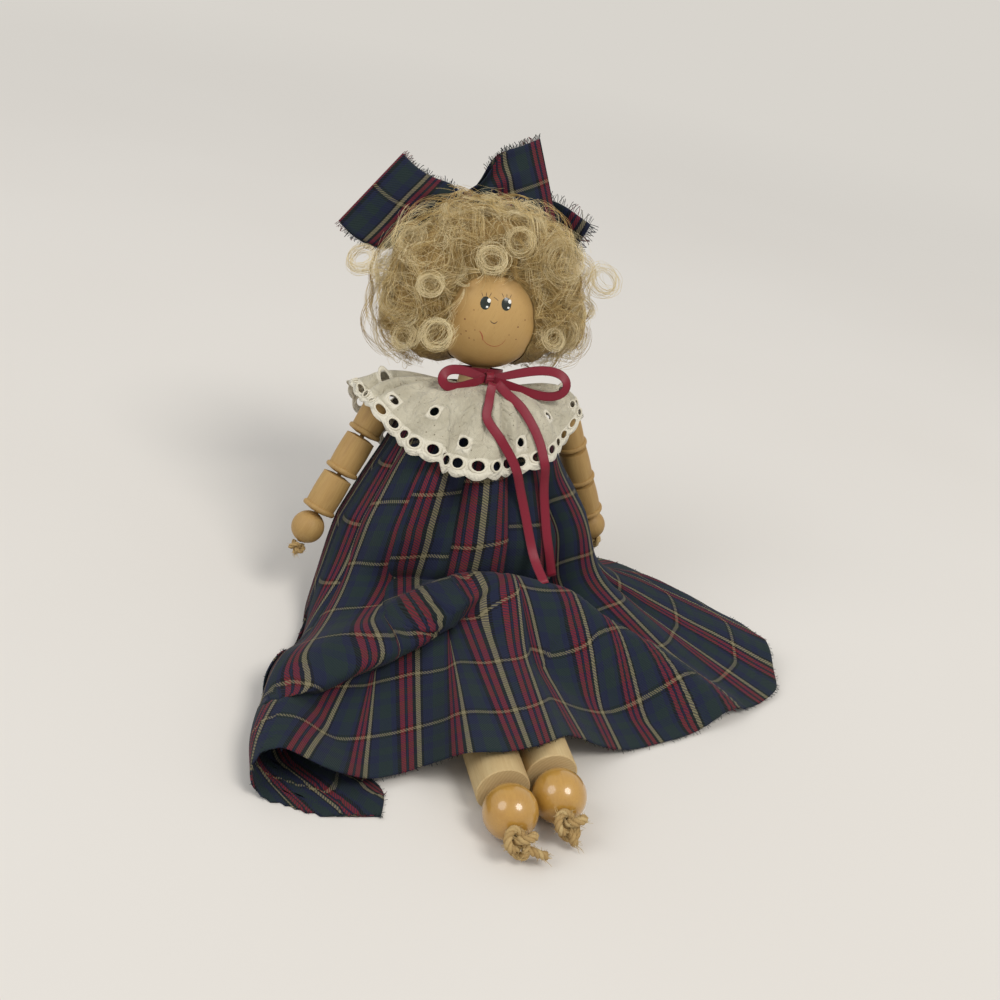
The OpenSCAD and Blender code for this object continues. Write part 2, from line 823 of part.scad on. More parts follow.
module ribbon_tail(side, sway, layer) {
    steps = 24;
    path = [
        for (k = [0:steps])
            let (
                drop = tail_drop * k / steps,
                h = bow_at.z - drop,
                x = lookup(drop, sway),
                lip = collar_face(h + ribbon_w),
                face = max(
                    round_off(max(collar_face(h), lip), collar_w / 2, x),
                    round_off(bodice_face(h), bodice_half(h), x),
                    knot_d / 2 - bow_at.y
                )
            )
            [x, -face - layer * (ribbon_t + gap), h]
    ];
    color(SATIN)
        in_body()
            strip(
                path,
                [for (p = path) [side * ribbon_w / 2, 0, 0]],
                [for (p = path) [0, -side * ribbon_t / 2, 0]]
            );
}

// Hair: a mop of curls round the head, open at the face
function hairline(turn) = lookup(abs(turn), [
    [0, 40], [50, 44], [95, 52], [130, 66], [160, 110], [180, 124]
]);
function hair_reach(lat, turn) =
    let (
        line = hairline(turn),
        grow = ease_in_out(min(1, (lat - line) / 42)),
        lumps = curl * cos(9 * lat) * cos(6 * turn) * grow,
        free = lerp(head_d / 2 + fringe, hair_r, grow) + lumps,
        low = -sin(lat) * cos(turn)
    )
    low > 0.1 ? min(free, (head_d / 2 - 1.5) / low) : free;
// Direction at an angle from the face, turned round it from the top of the head
function hair_dir(lat, turn) = [sin(lat) * sin(turn), -cos(lat), sin(lat) * cos(turn)];
function hair_rows(inner) =
    let (rows = 10, cols = 40)
    [
        for (i = [0:rows - 1])
            [
                for (j = [0:cols - 1])
                    let (
                        turn = 360 * j / cols - 180,
                        lat = lerp(hairline(turn), 178, i / (rows - 1)),
                        r = inner ? head_d / 2 + 2 * gap : hair_reach(lat, turn)
                    )
                    r * hair_dir(lat, turn)
            ]
    ];

module hair() {
    color(BLOND)
        in_head()
            shell(hair_rows(true), hair_rows(false));
}

// Hair bow: a knot on the crown, two loops of a wide strip, and one tail
// Place of the knot, as the angle from the face and the turn from the top of the head
crown_lat = 112;
crown_turn = -6;
crown_dir = hair_dir(crown_lat, crown_turn);
bow_mid = crown_dir * (hair_reach(crown_lat, crown_turn) + bow_knot_d / 2 + gap);

// Half the depth of a loop at the knot and at its widest, and how far back the tail swings
loop_pinch = 1.2;
loop_puff = 4.5;
tail_back = 12;

module hair_bow_knot() {
    color(PLAID)
        in_head()
            translate(bow_mid)
                sphere(d = bow_knot_d);
}

// Loop of the hair bow: out to its fold in front, and back behind
module hair_bow_loop(side, reach, rise, tilt) {
    steps = 16;
    start = bow_knot_d / 2 + gap;
    path = [
        for (k = [0:steps])
            let (t = k / steps, out = sin(180 * t))
            bow_mid + [
                side * (start + reach * out),
                -lerp(loop_pinch, loop_puff, out) * cos(180 * t),
                rise * out
            ]
    ];
    half_w = [
        for (k = [0:steps])
            let (out = sin(180 * k / steps), aside = sin(tilt) * out)
            lerp(bow_knot_d / 3, bow_w / 2, ease_in_out(out)) * [aside, 0, sqrt(1 - aside * aside)]
    ];
    half_t = [
        for (k = [0:steps])
            let (a = 180 * k / steps)
            bow_t / 2 * unit([side * sin(a) * sin(a), -cos(a), 0])
    ];
    color(PLAID)
        in_head()
            strip(path, side == LEFT ? -half_w : half_w, half_t);
}

module hair_bow_tail() {
    steps = 8;
    start = bow_knot_d / 2 + gap;
    behind = loop_pinch + bow_t + 2 * gap;
    path = [
        for (k = [0:steps])
            let (t = k / steps)
            bow_mid + [start + bow_tail * t, lerp(behind, tail_back, t), -bow_tail_drop * t * t]
    ];
    color(PLAID)
        in_head()
            strip(
                path,
                [for (k = [0:steps]) [0, 0, lerp(bow_knot_d / 3, bow_w / 4, k / steps)]],
                [for (p = path) [0, -bow_t / 2, 0]]
            );
}

dress_skirt();
leg_twine(LEFT);  // left_leg_twine
leg_twine(RIGHT);  // right_leg_twine
foot_knot(LEFT);  // left_foot_knot
foot_knot(RIGHT);  // right_foot_knot
leg_dowel(LEFT);  // left_leg_dowel
leg_dowel(RIGHT);  // right_leg_dowel
foot_bead(LEFT);  // left_foot_bead
foot_bead(RIGHT);  // right_foot_bead
body_peg();
neck_peg();
hip_twine();
shoulder_twine();
dress_bodice();
lace_collar();
neck_ribbon();
ribbon_knot();
ribbon_loop(LEFT, left_loop, left_loop_h);  // ribbon_left_loop
ribbon_loop(RIGHT, right_loop, right_loop_h);  // ribbon_right_loop
ribbon_tail(LEFT, left_sway, 1);  // ribbon_left_tail
ribbon_tail(RIGHT, right_sway, 2);  // ribbon_right_tail
head_ball();
hair();
hair_bow_knot();
hair_bow_loop(LEFT, bow_left, 0, bow_left_tilt);  // hair_bow_left_loop
hair_bow_loop(RIGHT, bow_right, bow_right_rise, -bow_right_tilt);  // hair_bow_right_loop
hair_bow_tail();
barrel(LEFT, 0);  // left_upper_barrel
barrel(LEFT, 1);  // left_middle_barrel
barrel(LEFT, 2);  // left_lower_barrel
hand_bead(LEFT);  // left_hand_bead
barrel_twine(LEFT, 0);  // left_upper_twine
barrel_twine(LEFT, 1);  // left_middle_twine
barrel_twine(LEFT, 2);  // left_lower_twine
hand_knot(LEFT);  // left_hand_knot
barrel(RIGHT, 0);  // right_upper_barrel
barrel(RIGHT, 1);  // right_middle_barrel
barrel(RIGHT, 2);  // right_lower_barrel
hand_bead(RIGHT);  // right_hand_bead
barrel_twine(RIGHT, 0);  // right_upper_twine
barrel_twine(RIGHT, 1);  // right_middle_twine
barrel_twine(RIGHT, 2);  // right_lower_twine
hand_knot(RIGHT);  // right_hand_knot
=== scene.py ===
# %% [markdown]
# # A strung wooden doll in a plaid dress
# The doll is made of beads, barrels and dowels on jute twine, and it wears a gathered dress, a
# lace collar, a satin ribbon, a mop of curls and a bow. The solid frame comes from the CAD model:
# wooden pieces keep their CAD shape and get a finish here, and cloth, hair and twine are made
# again as what they are. Everything is in metres, in the frame of the CAD model.

# %% Load the frame
import math

import bpy
import numpy as np
from mathutils import Matrix, Vector
from mathutils.bvhtree import BVHTree


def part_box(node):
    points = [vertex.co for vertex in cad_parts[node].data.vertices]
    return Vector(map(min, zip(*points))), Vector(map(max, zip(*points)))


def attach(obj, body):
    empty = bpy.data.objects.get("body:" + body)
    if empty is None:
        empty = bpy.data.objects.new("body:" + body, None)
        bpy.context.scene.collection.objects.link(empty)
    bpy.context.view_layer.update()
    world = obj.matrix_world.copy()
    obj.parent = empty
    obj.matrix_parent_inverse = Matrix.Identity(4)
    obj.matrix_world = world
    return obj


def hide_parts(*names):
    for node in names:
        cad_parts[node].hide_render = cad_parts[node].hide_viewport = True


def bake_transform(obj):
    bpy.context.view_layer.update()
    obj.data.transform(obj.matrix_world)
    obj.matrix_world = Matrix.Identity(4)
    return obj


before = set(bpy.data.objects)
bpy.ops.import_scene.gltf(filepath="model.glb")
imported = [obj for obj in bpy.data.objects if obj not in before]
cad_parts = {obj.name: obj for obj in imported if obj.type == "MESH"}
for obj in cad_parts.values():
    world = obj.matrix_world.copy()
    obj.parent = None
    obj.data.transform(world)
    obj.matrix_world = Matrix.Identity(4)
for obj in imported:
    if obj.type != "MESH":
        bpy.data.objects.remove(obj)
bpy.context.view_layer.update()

# %% [markdown]
# ## Camera
# The picture is taken from above and from the doll's right, with the camera rolled a little.
# A camera can be aimed with a Track To constraint, but that can't roll it, so its three axes are
# worked out from azimuth, elevation and roll and written straight into its matrix.

# %% Camera
CAMERA_AT = (-0.169088, -0.399847, 0.295062)
AZIMUTH, ELEVATION, ROLL = (math.radians(v) for v in (-19.995, 27.28, 13.074))
LENS_MM = 43.2

view_back = Vector((
    math.sin(AZIMUTH) * math.cos(ELEVATION),
    -math.cos(AZIMUTH) * math.cos(ELEVATION),
    math.sin(ELEVATION),
))
level_right = Vector((math.cos(AZIMUTH), math.sin(AZIMUTH), 0))
level_up = view_back.cross(level_right)
view_right = level_right * math.cos(ROLL) + level_up * math.sin(ROLL)
view_up = level_up * math.cos(ROLL) - level_right * math.sin(ROLL)

camera = bpy.data.objects.new("camera", bpy.data.cameras.new("camera"))
camera.data.lens = LENS_MM
camera.data.sensor_width = 36
camera.data.clip_start = 0.01
camera.matrix_world = Matrix.Translation(CAMERA_AT) @ (
    Matrix((view_right, view_up, view_back)).transposed().to_4x4()
)
bpy.context.collection.objects.link(camera)
bpy.context.scene.camera = camera
bpy.context.scene.view_settings.view_transform = "Standard"
print("camera lens", LENS_MM, "mm")

# %% [markdown]
# ## Places on the doll
# Two sets of coordinates are handy. Cloth on the floor is measured from the middle of the hips
# (x to the right, y to the back, z up). Things worn on the body are measured along the leaning
# body axis: x to the right, how far in front of the axis, and how high above the hips.

# %% Places
MM = 0.001
HIP_AT = np.array([-21.85, 32.64, 0.0])
HIP_HIGH = 10.0
LEAN = math.radians(20)
BODY_UP = np.array([0, math.sin(LEAN), math.cos(LEAN)])
BODY_FRONT = np.array([0, -math.cos(LEAN), math.sin(LEAN)])
HEAD_HIGH = 125.0
HEAD_R = 25.0


def from_body(x, front, high):
    """Points of the leaning body, as millimetres from the hips on the floor."""
    x, front, high = np.broadcast_arrays(x, front, high)
    spot = np.multiply.outer(x, [1.0, 0, 0]) + np.multiply.outer(front, BODY_FRONT)
    return spot + np.multiply.outer(high, BODY_UP) + [0, 0, HIP_HIGH]


def in_frame(spot):
    """Millimetres from the hips, as metres in the model's frame."""
    return (np.asarray(spot, float) + HIP_AT) * MM


def soft_step(low, high, x):
    """0 up to low, 1 from high on, and a smooth rise between them."""
    t = np.clip((np.asarray(x, float) - low) / (high - low), 0, 1)
    return t * t * (3 - 2 * t)


def hump(x, middle, half):
    """1 at the middle, falling smoothly to 0 at half a width on each side."""
    return 1 - soft_step(0, 1, np.abs(np.asarray(x, float) - middle) / half)


def unit(v):
    """Vectors made one long."""
    v = np.asarray(v, float)
    return v / np.maximum(np.linalg.norm(v, axis=-1, keepdims=True), 1e-12)


HEAD_AT = in_frame(from_body(0, 0, HEAD_HIGH))
print("head centre", np.round(HEAD_AT, 4))

# %% [markdown]
# ## Meshes from rows of points
# Cloth, ribbon and twine are all grids: rows of points that are bridged by quads. One helper
# turns such a grid into a mesh object, with an optional UV map in millimetres of flat cloth, so a
# woven pattern can follow the cloth instead of the room.

# %% Mesh helpers
def mesh_piece(name, points, faces, material, uv=None, smooth=True):
    """A mesh object at the origin, from points in metres."""
    mesh = bpy.data.meshes.new(name)
    mesh.from_pydata(np.asarray(points, float).tolist(), [], [list(map(int, f)) for f in faces])
    if uv is not None:
        layer = mesh.uv_layers.new(name="cloth")
        corner = np.zeros(len(mesh.loops), np.int32)
        mesh.loops.foreach_get("vertex_index", corner)
        layer.data.foreach_set("uv", np.asarray(uv, np.float32)[corner].ravel())
    mesh.materials.append(material)
    if smooth:
        mesh.polygons.foreach_set("use_smooth", [True] * len(mesh.polygons))
    mesh.update()
    piece = bpy.data.objects.new(name, mesh)
    bpy.context.collection.objects.link(piece)
    return piece


def grid_faces(rows, cols, closed=False):
    """Quads of a grid of rows by cols points, the columns closed into a ring or not."""
    r, c = np.meshgrid(np.arange(rows - 1), np.arange(cols if closed else cols - 1), indexing="ij")
    a = r * cols + c
    b = r * cols + (c + 1) % cols
    return np.stack([a, b, b + cols, a + cols], axis=-1).reshape(-1, 4)


def grid_piece(name, spots, material, uv, closed=False):
    """A grid of cloth or ribbon, from rows of spots in millimetres from the hips."""
    faces = grid_faces(*spots.shape[:2], closed)
    return mesh_piece(name, in_frame(spots).reshape(-1, 3), faces, material, uv.reshape(-1, 2))


def thicken(piece, millimetres, offset=-1.0):
    """Gives a sheet its thickness."""
    wall = piece.modifiers.new("thickness", "SOLIDIFY")
    wall.thickness = millimetres * MM
    wall.offset = offset
    wall.use_even_offset = False


def carry(mesh, name, values):
    """Gives each point of a mesh a number or a direction of its own, which nodes read by its name."""
    values = np.asarray(values, np.float32)
    kind, key = ("FLOAT", "value") if values.ndim == 1 else ("FLOAT_VECTOR", "vector")
    mesh.attributes.new(name, kind, "POINT").data.foreach_set(key, values.ravel())


print("a grid of 3 by 4 points has", len(grid_faces(3, 4)), "quads")

# %% Lines
def far_along(line):
    """How far along a line, or along each column of a grid, the points lie."""
    steps = np.linalg.norm(np.diff(line, axis=0), axis=-1)
    return np.concatenate([np.zeros_like(steps[:1]), np.cumsum(steps, axis=0)])


def smooth_line(points, count):
    """A smooth line through the points, with count points evenly along it."""
    p = np.asarray(points, float)
    q = np.vstack([2 * p[0] - p[1], p, 2 * p[-1] - p[-2]])
    t = np.linspace(0, 1, 24, endpoint=False)[:, None]
    parts = [
        0.5 * (2 * b + (c - a) * t + (2 * a - 5 * b + 4 * c - d) * t**2 + (3 * b - a - 3 * c + d) * t**3)
        for a, b, c, d in zip(q[:-3], q[1:-2], q[2:-1], q[3:])
    ]
    line = np.vstack(parts + [p[-1:]])
    far = far_along(line)
    at = np.linspace(0, far[-1], count)
    return np.stack([np.interp(at, far, line[:, k]) for k in range(line.shape[1])], axis=1)


def line_length(points):
    return float(np.linalg.norm(np.diff(points, axis=0), axis=1).sum())


print("from (0, 0) to (3, 4) a line is", line_length([(0, 0), (3, 4)]), "long")

# %% [markdown]
# ## Shader helpers
# A material is a small graph. A few helpers keep it readable: one adds a node and wires its
# inputs, one starts a material with its Principled shader, and one starts a node group, which is
# a finish that several materials share with their own values.

# %% Shader helpers
def srgb(r, g, b):
    """A colour as it is seen on screen, 0 to 255, as Blender's linear RGBA."""
    v = [c / 255 for c in (r, g, b)]
    return tuple(c / 12.92 if c <= 0.04045 else ((c + 0.055) / 1.055) ** 2.4 for c in v) + (1.0,)


def add(tree, kind, settings=None, **inputs):
    """Adds a node; inputs by socket name or number, linked if given a socket."""
    node = tree.nodes.new(kind)
    for key, value in (settings or {}).items():
        setattr(node, key, value)
    for key, value in inputs.items():
        numbered = key[0] == "i" and key[1:].isdigit()
        socket = node.inputs[int(key[1:]) if numbered else key.replace("_", " ")]
        if isinstance(value, bpy.types.NodeSocket):
            tree.links.new(value, socket)
        else:
            socket.default_value = value
    return node


def maths(tree, how, a, b=0.0, c=0.0):
    return add(tree, "ShaderNodeMath", {"operation": how}, i0=a, i1=b, i2=c).outputs[0]


def blend_colour(tree, share, first, second):
    """The first colour where the share is 0, the second where it is 1."""
    return add(tree, "ShaderNodeMix", {"data_type": "RGBA"}, i0=share, i6=first, i7=second).outputs[2]


print("mid grey on screen is", round(srgb(128, 128, 128)[0], 3), "as linear light")


# %% Patterns and places
def noise(tree, at, scale, detail, **more):
    """Cloudy values from 0 to 1."""
    return add(tree, "ShaderNodeTexNoise", None, Vector=at, Scale=scale, Detail=detail, **more).outputs[0]


def mapped(tree, at, **how):
    """Coordinates that are turned or stretched."""
    return add(tree, "ShaderNodeMapping", None, Vector=at, **how).outputs[0]


def object_place(tree):
    """Coordinates that are fixed to the piece, in metres."""
    return add(tree, "ShaderNodeTexCoord").outputs["Object"]


def cloth_place(tree):
    """Millimetres of flat cloth, from the piece's UV map."""
    return add(tree, "ShaderNodeUVMap", {"uv_map": "cloth"}).outputs[0]


def ramp(tree, value, stops, how="LINEAR"):
    """A colour ramp with (place, colour) stops."""
    node = add(tree, "ShaderNodeValToRGB", None, i0=value)
    node.color_ramp.interpolation = how
    while len(node.color_ramp.elements) > 1:
        node.color_ramp.elements.remove(node.color_ramp.elements[-1])
    node.color_ramp.elements[0].position = stops[0][0]
    node.color_ramp.elements[0].color = stops[0][1]
    for place, colour in stops[1:]:
        node.color_ramp.elements.new(place).color = colour
    return node.outputs[0]


print("pattern helpers ready")

# %% Materials and groups
def new_material(name, **fixed):
    """A material with a Principled shader, its constant values set on the sockets themselves."""
    material = bpy.data.materials.new(name)
    material.use_nodes = True
    shader = material.node_tree.nodes["Principled BSDF"]
    for key, value in fixed.items():
        shader.inputs[key.replace("_", " ")].default_value = value
    return material, material.node_tree, shader


def new_group(name, inputs, outputs):
    """A shader node group; inputs and outputs are (name, socket type, default) or (name, type)."""
    group = bpy.data.node_groups.new(name, "ShaderNodeTree")
    for title, kind, value in inputs:
        socket = group.interface.new_socket(title, in_out="INPUT", socket_type=kind)
        if value is not None:
            socket.default_value = value
    for title, kind in outputs:
        group.interface.new_socket(title, in_out="OUTPUT", socket_type=kind)
    return group, group.nodes.new("NodeGroupInput").outputs, group.nodes.new("NodeGroupOutput")


def use_group(tree, group, **inputs):
    return add(tree, "ShaderNodeGroup", {"node_tree": group}, **inputs)


def bump(tree, shader, height, distance):
    """Height in the shader's normal, with its depth in millimetres."""
    node = add(tree, "ShaderNodeBump", None, Height=height, Distance=distance * MM)
    tree.links.new(node.outputs[0], shader.inputs["Normal"])


FLOAT, COLOUR, VECTOR = "NodeSocketFloat", "NodeSocketColor", "NodeSocketVector"
print("helpers ready")

# %% [markdown]
# ## Wood grain
# All the wooden pieces share one finish: fine streaks along the grain, broad soft bands, small
# dark pores, and growth rings where a dowel is cut across. A wood picture could be wrapped round
# each piece, but streaks made from stretched noise on Object coordinates go right through the
# piece, as grain does. Each material turns the coordinates so that its grain runs along local Z.

# %% The grain group
grain, grain_in, grain_out = new_group(
    "wood_grain",
    [
        ("Place", VECTOR, None),
        ("Pale", COLOUR, srgb(222, 190, 142)),
        ("Dark", COLOUR, srgb(186, 144, 96)),
        ("Streak", FLOAT, 0.5),
        ("End", FLOAT, 0.0),
    ],
    [("Color", COLOUR), ("Height", FLOAT)],
)
stretched = mapped(grain, grain_in["Place"], Scale=(1, 1, 0.07))
fine = noise(grain, stretched, 1500.0, 4.0, Roughness=0.6)
broad = noise(grain, stretched, 240.0, 2.0)
pores = noise(grain, stretched, 2600.0, 1.0)
patch = noise(grain, grain_in["Place"], 70.0, 2.0)
flat_place = mapped(grain, grain_in["Place"], Scale=(1, 1, 0))
rings = add(
    grain, "ShaderNodeTexWave", {"wave_type": "RINGS", "rings_direction": "Z"},
    Vector=flat_place, Scale=260.0, Distortion=2.5, Detail=2.0, Detail_Scale=2.0,
).outputs[1]
streaks = maths(grain, "MULTIPLY_ADD", fine, 0.6, maths(grain, "MULTIPLY", broad, 0.55))
streaks = maths(grain, "MULTIPLY_ADD", maths(grain, "SUBTRACT", streaks, 0.56), grain_in["Streak"], 0.35)
across = maths(grain, "MULTIPLY_ADD", rings, 0.3, maths(grain, "MULTIPLY", fine, 0.25))
share = add(grain, "ShaderNodeMix", None, i0=grain_in["End"], i2=streaks, i3=across).outputs[0]
share = maths(grain, "MULTIPLY_ADD", maths(grain, "SUBTRACT", patch, 0.5), 0.35, share)
tone = blend_colour(grain, share, grain_in["Pale"], grain_in["Dark"])
pits = maths(grain, "GREATER_THAN", pores, 0.69)
tone = blend_colour(grain, maths(grain, "MULTIPLY", pits, 0.16), tone, srgb(120, 84, 50))
grain.links.new(tone, grain_out.inputs["Color"])
grain.links.new(maths(grain, "MULTIPLY_ADD", pits, -0.5, fine), grain_out.inputs["Height"])
print("wood grain group with", len(grain.nodes), "nodes")


# %% Wood materials
def wood(name, along, pale, dark, streak=1.6, rough=0.6, coat=0.0, depth=0.05, ends=None):
    """A wood finish with its grain along a direction, and cut ends if their distances are given."""
    fixed = {"Coat_Weight": coat, "Coat_Roughness": 0.08, "Specular_IOR_Level": 0.3 if not coat else 0.5}
    material, tree, shader = new_material(name, **fixed)
    turn = Vector(along).rotation_difference(Vector((0, 0, 1))).to_euler()
    place = object_place(tree)
    place = mapped(tree, place, Rotation=turn)
    cut = 0.0
    if ends:
        far = add(tree, "ShaderNodeSeparateXYZ", None, Vector=place).outputs[2]
        low = maths(tree, "LESS_THAN", far, ends[0])
        cut = maths(tree, "MAXIMUM", low, maths(tree, "GREATER_THAN", far, ends[1]))
    look = use_group(tree, grain, Place=place, Pale=pale, Dark=dark, Streak=streak, End=cut)
    tree.links.new(look.outputs["Color"], shader.inputs["Base Color"])
    if coat:
        shader.inputs["Roughness"].default_value = rough
    else:
        shade = maths(tree, "MULTIPLY_ADD", look.outputs["Height"], 0.2, rough - 0.1)
        tree.links.new(shade, shader.inputs["Roughness"])
    bump(tree, shader, look.outputs["Height"], depth)
    return material


def finish_nodes(material, *nodes):
    """Puts a finish on CAD pieces."""
    for name in nodes:
        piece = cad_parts[name]
        piece.data.materials.clear()
        piece.data.materials.append(material)


print("every wood uses the group", grain.name)

# %% [markdown]
# ## The wooden pieces
# Legs and head are raw birch, pale and dry. The arms are turned from a browner wood and lightly
# sealed. The feet are varnished beads with a clear gloss, which is what Coat is for: a second,
# smooth layer over the wood that reflects the lamps sharply.

# %% Legs, feet, arms, body and head
# How far in from its ends a dowel shows cut grain, in metres
CUT_DEEP = 0.0002


def leg_ends(node):
    """Where the cut ends of a dowel lie along its length."""
    low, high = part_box(node)
    return -high[1] + CUT_DEEP, -low[1] - CUT_DEEP


for side in ("left", "right"):
    raw = wood(
        f"{side}_raw_birch", (0, -1, 0), srgb(200, 178, 132), srgb(172, 140, 92),
        streak=1.3, rough=0.72, ends=leg_ends(f"{side}_leg_dowel"),
    )
    finish_nodes(raw, f"{side}_leg_dowel")

bead_gloss = wood(
    "varnished_bead", (0, -1, 0), srgb(190, 147, 66), srgb(156, 108, 40),
    streak=0.9, rough=0.35, coat=1.0, depth=0.01,
)
finish_nodes(bead_gloss, "left_foot_bead", "right_foot_bead")

ARM_ALONG = {"left": (-0.43837, -0.30741, -0.84459), "right": (0.43837, 0.03137, -0.89825)}
for side, along in ARM_ALONG.items():
    turned = wood(
        f"{side}_turned_wood", along, srgb(180, 148, 92), srgb(146, 108, 60),
        streak=1.3, rough=0.52,
    )
    finish_nodes(
        turned, f"{side}_upper_barrel", f"{side}_middle_barrel", f"{side}_lower_barrel", f"{side}_hand_bead"
    )

body_wood = wood("body_birch", BODY_UP, srgb(208, 180, 132), srgb(178, 142, 94), rough=0.7)
finish_nodes(body_wood, "body_peg", "neck_peg")
head_wood = wood("head_birch", (0.35, 0.2, 0.92), srgb(194, 160, 102), srgb(172, 133, 78), streak=0.7, rough=0.5)
finish_nodes(head_wood, "head_ball")
print("wooden pieces finished")

# %% [markdown]
# ## Jute twine
# The knots under the hands and feet are three-ply jute. A tube with a rope picture would look
# moulded, so each ply is a tube of its own that winds round the line of the knot, and loose
# fibres stand off it. The tubes follow paths, which is a job for Geometry Nodes: the script lays
# out the paths as edges, and one small tree turns any set of paths into tubes.

# %% Geometry Nodes helpers
WHOLE, FINISH, SHAPE = "NodeSocketInt", "NodeSocketMaterial", "NodeSocketGeometry"


def new_tree(name, taken, given, inputs):
    """A Geometry Nodes tree that takes a shape and named values and gives a shape."""
    tree = bpy.data.node_groups.new(name, "GeometryNodeTree")
    for title, kind in [(taken, SHAPE)] + inputs:
        tree.interface.new_socket(title, in_out="INPUT", socket_type=kind)
    tree.interface.new_socket(given, in_out="OUTPUT", socket_type=SHAPE)
    return tree, tree.nodes.new("NodeGroupInput").outputs


def end_tree(tree, shape, finish):
    """Turns instances into plain mesh, gives it the finish and makes it the tree's result."""
    shape = add(tree, "GeometryNodeRealizeInstances", None, i0=shape).outputs[0]
    shape = add(tree, "GeometryNodeSetMaterial", None, Geometry=shape, Material=finish).outputs[0]
    tree.links.new(shape, tree.nodes.new("NodeGroupOutput").inputs[0])
    return tree


def carried(tree, kind, name):
    """What each point carries under a name."""
    return add(tree, "GeometryNodeInputNamedAttribute", {"data_type": kind}, i0=name).outputs[0]


def circle(tree, sides, radius):
    return add(tree, "GeometryNodeCurvePrimitiveCircle", None, Resolution=sides, Radius=radius).outputs[0]


def grown(name, tree, mesh, values):
    """Runs a Geometry Nodes tree on a mesh and gives the result as a plain mesh object."""
    piece = bpy.data.objects.new(name, mesh)
    bpy.context.collection.objects.link(piece)
    modifier = piece.modifiers.new("grow", "NODES")
    modifier.node_group = tree
    for item in tree.interface.items_tree:
        if item.item_type == "SOCKET" and item.in_out == "INPUT" and item.name in values:
            modifier[item.identifier] = values[item.name]
    ready = piece.evaluated_get(bpy.context.evaluated_depsgraph_get())
    plain = bpy.data.meshes.new_from_object(ready)
    piece.modifiers.remove(modifier)
    piece.data = plain
    bpy.data.meshes.remove(mesh)
    plain.name = name
    return piece


print("Geometry Nodes helpers ready")

# %% Paths into tubes
def tube_tree():
    """Edges into tubes: a profile with few sides is swept along each path."""
    values = [("Thickness", FLOAT), ("Sides", WHOLE), ("Finish", FINISH)]
    tree, given = new_tree("paths_to_tubes", "Paths", "Tubes", values)
    line = add(tree, "GeometryNodeMeshToCurve", None, i0=given["Paths"]).outputs[0]
    taper = carried(tree, "FLOAT", "taper")
    line = add(tree, "GeometryNodeSetCurveRadius", None, Curve=line, Radius=taper).outputs[0]
    profile = circle(tree, given["Sides"], maths(tree, "MULTIPLY", given["Thickness"], 0.5))
    tube = add(tree, "GeometryNodeCurveToMesh", None, i0=line, i1=profile, Scale=taper, Fill_Caps=True).outputs[0]
    tube = add(tree, "GeometryNodeSetShadeSmooth", None, i0=tube).outputs[0]
    return end_tree(tree, tube, given["Finish"])


TUBES = tube_tree()


def path_mesh(paths, tapers, tints):
    """Paths of points in metres as a mesh of edges, with how thick and how dark each point is."""
    sizes = [len(p) for p in paths]
    starts = np.concatenate([[0], np.cumsum(sizes)[:-1]])
    edges = [np.stack([np.arange(s, s + n - 1), np.arange(s + 1, s + n)], 1) for s, n in zip(starts, sizes)]
    mesh = bpy.data.meshes.new("paths")
    mesh.from_pydata(np.vstack(paths).tolist(), np.vstack(edges).tolist(), [])
    carry(mesh, "taper", np.concatenate(tapers))
    carry(mesh, "tint", np.repeat(tints, sizes))
    return mesh


def tubes(name, paths, thickness, sides, material, tapers, tints):
    """Tubes of a thickness in millimetres along paths in metres."""
    mesh = path_mesh(paths, tapers, tints)
    return grown(name, TUBES, mesh, {"Thickness": thickness * MM, "Sides": sides, "Finish": material})


print("tube tree with", len(TUBES.nodes), "nodes")

# %% Jute finish
def tinted(name, stops, rough, **fixed):
    """A finish whose colour follows the tint that each path carries."""
    material, tree, shader = new_material(name, Roughness=rough, **fixed)
    tint = add(tree, "ShaderNodeAttribute", {"attribute_name": "tint"}).outputs["Fac"]
    return material, tree, shader, ramp(tree, tint, stops)


jute, jute_tree, jute_shader, jute_tone = tinted(
    "jute", [(0.0, srgb(146, 114, 66)), (0.5, srgb(182, 152, 98)), (1.0, srgb(216, 194, 140))], 0.85,
)
jute_place = object_place(jute_tree)
jute_fibre = noise(jute_tree, jute_place, 1800.0, 3.0)
jute_tone = blend_colour(jute_tree, maths(jute_tree, "MULTIPLY", jute_fibre, 0.5), jute_tone, srgb(128, 98, 56))
jute_tree.links.new(jute_tone, jute_shader.inputs["Base Color"])
bump(jute_tree, jute_shader, jute_fibre, 0.15)
print("jute spun")

# %% Plies and fibres of the twine
PLIES, TURNS_PER_MM = 3, 0.16


def frames_along(line):
    """Two directions square to a line at each of its points, without twist jumps."""
    ahead = unit(np.gradient(line, axis=0))
    side = np.zeros_like(line)
    first = np.cross(ahead[0], [0.3, 0.2, 1.0])
    for i, t in enumerate(ahead):
        first = first - t * np.dot(first, t)
        first = first / np.linalg.norm(first)
        side[i] = first
    return ahead, side, np.cross(ahead, side)


def plies(line, twine):
    """Lines of the plies of a laid twine; line and twine thickness in millimetres."""
    _, side, lift = frames_along(line)
    far = far_along(line)
    out = []
    for k in range(PLIES):
        angle = 2 * math.pi * (far * TURNS_PER_MM + k / PLIES)
        out.append(line + twine * 0.27 * (np.cos(angle)[:, None] * side + np.sin(angle)[:, None] * lift))
    return out


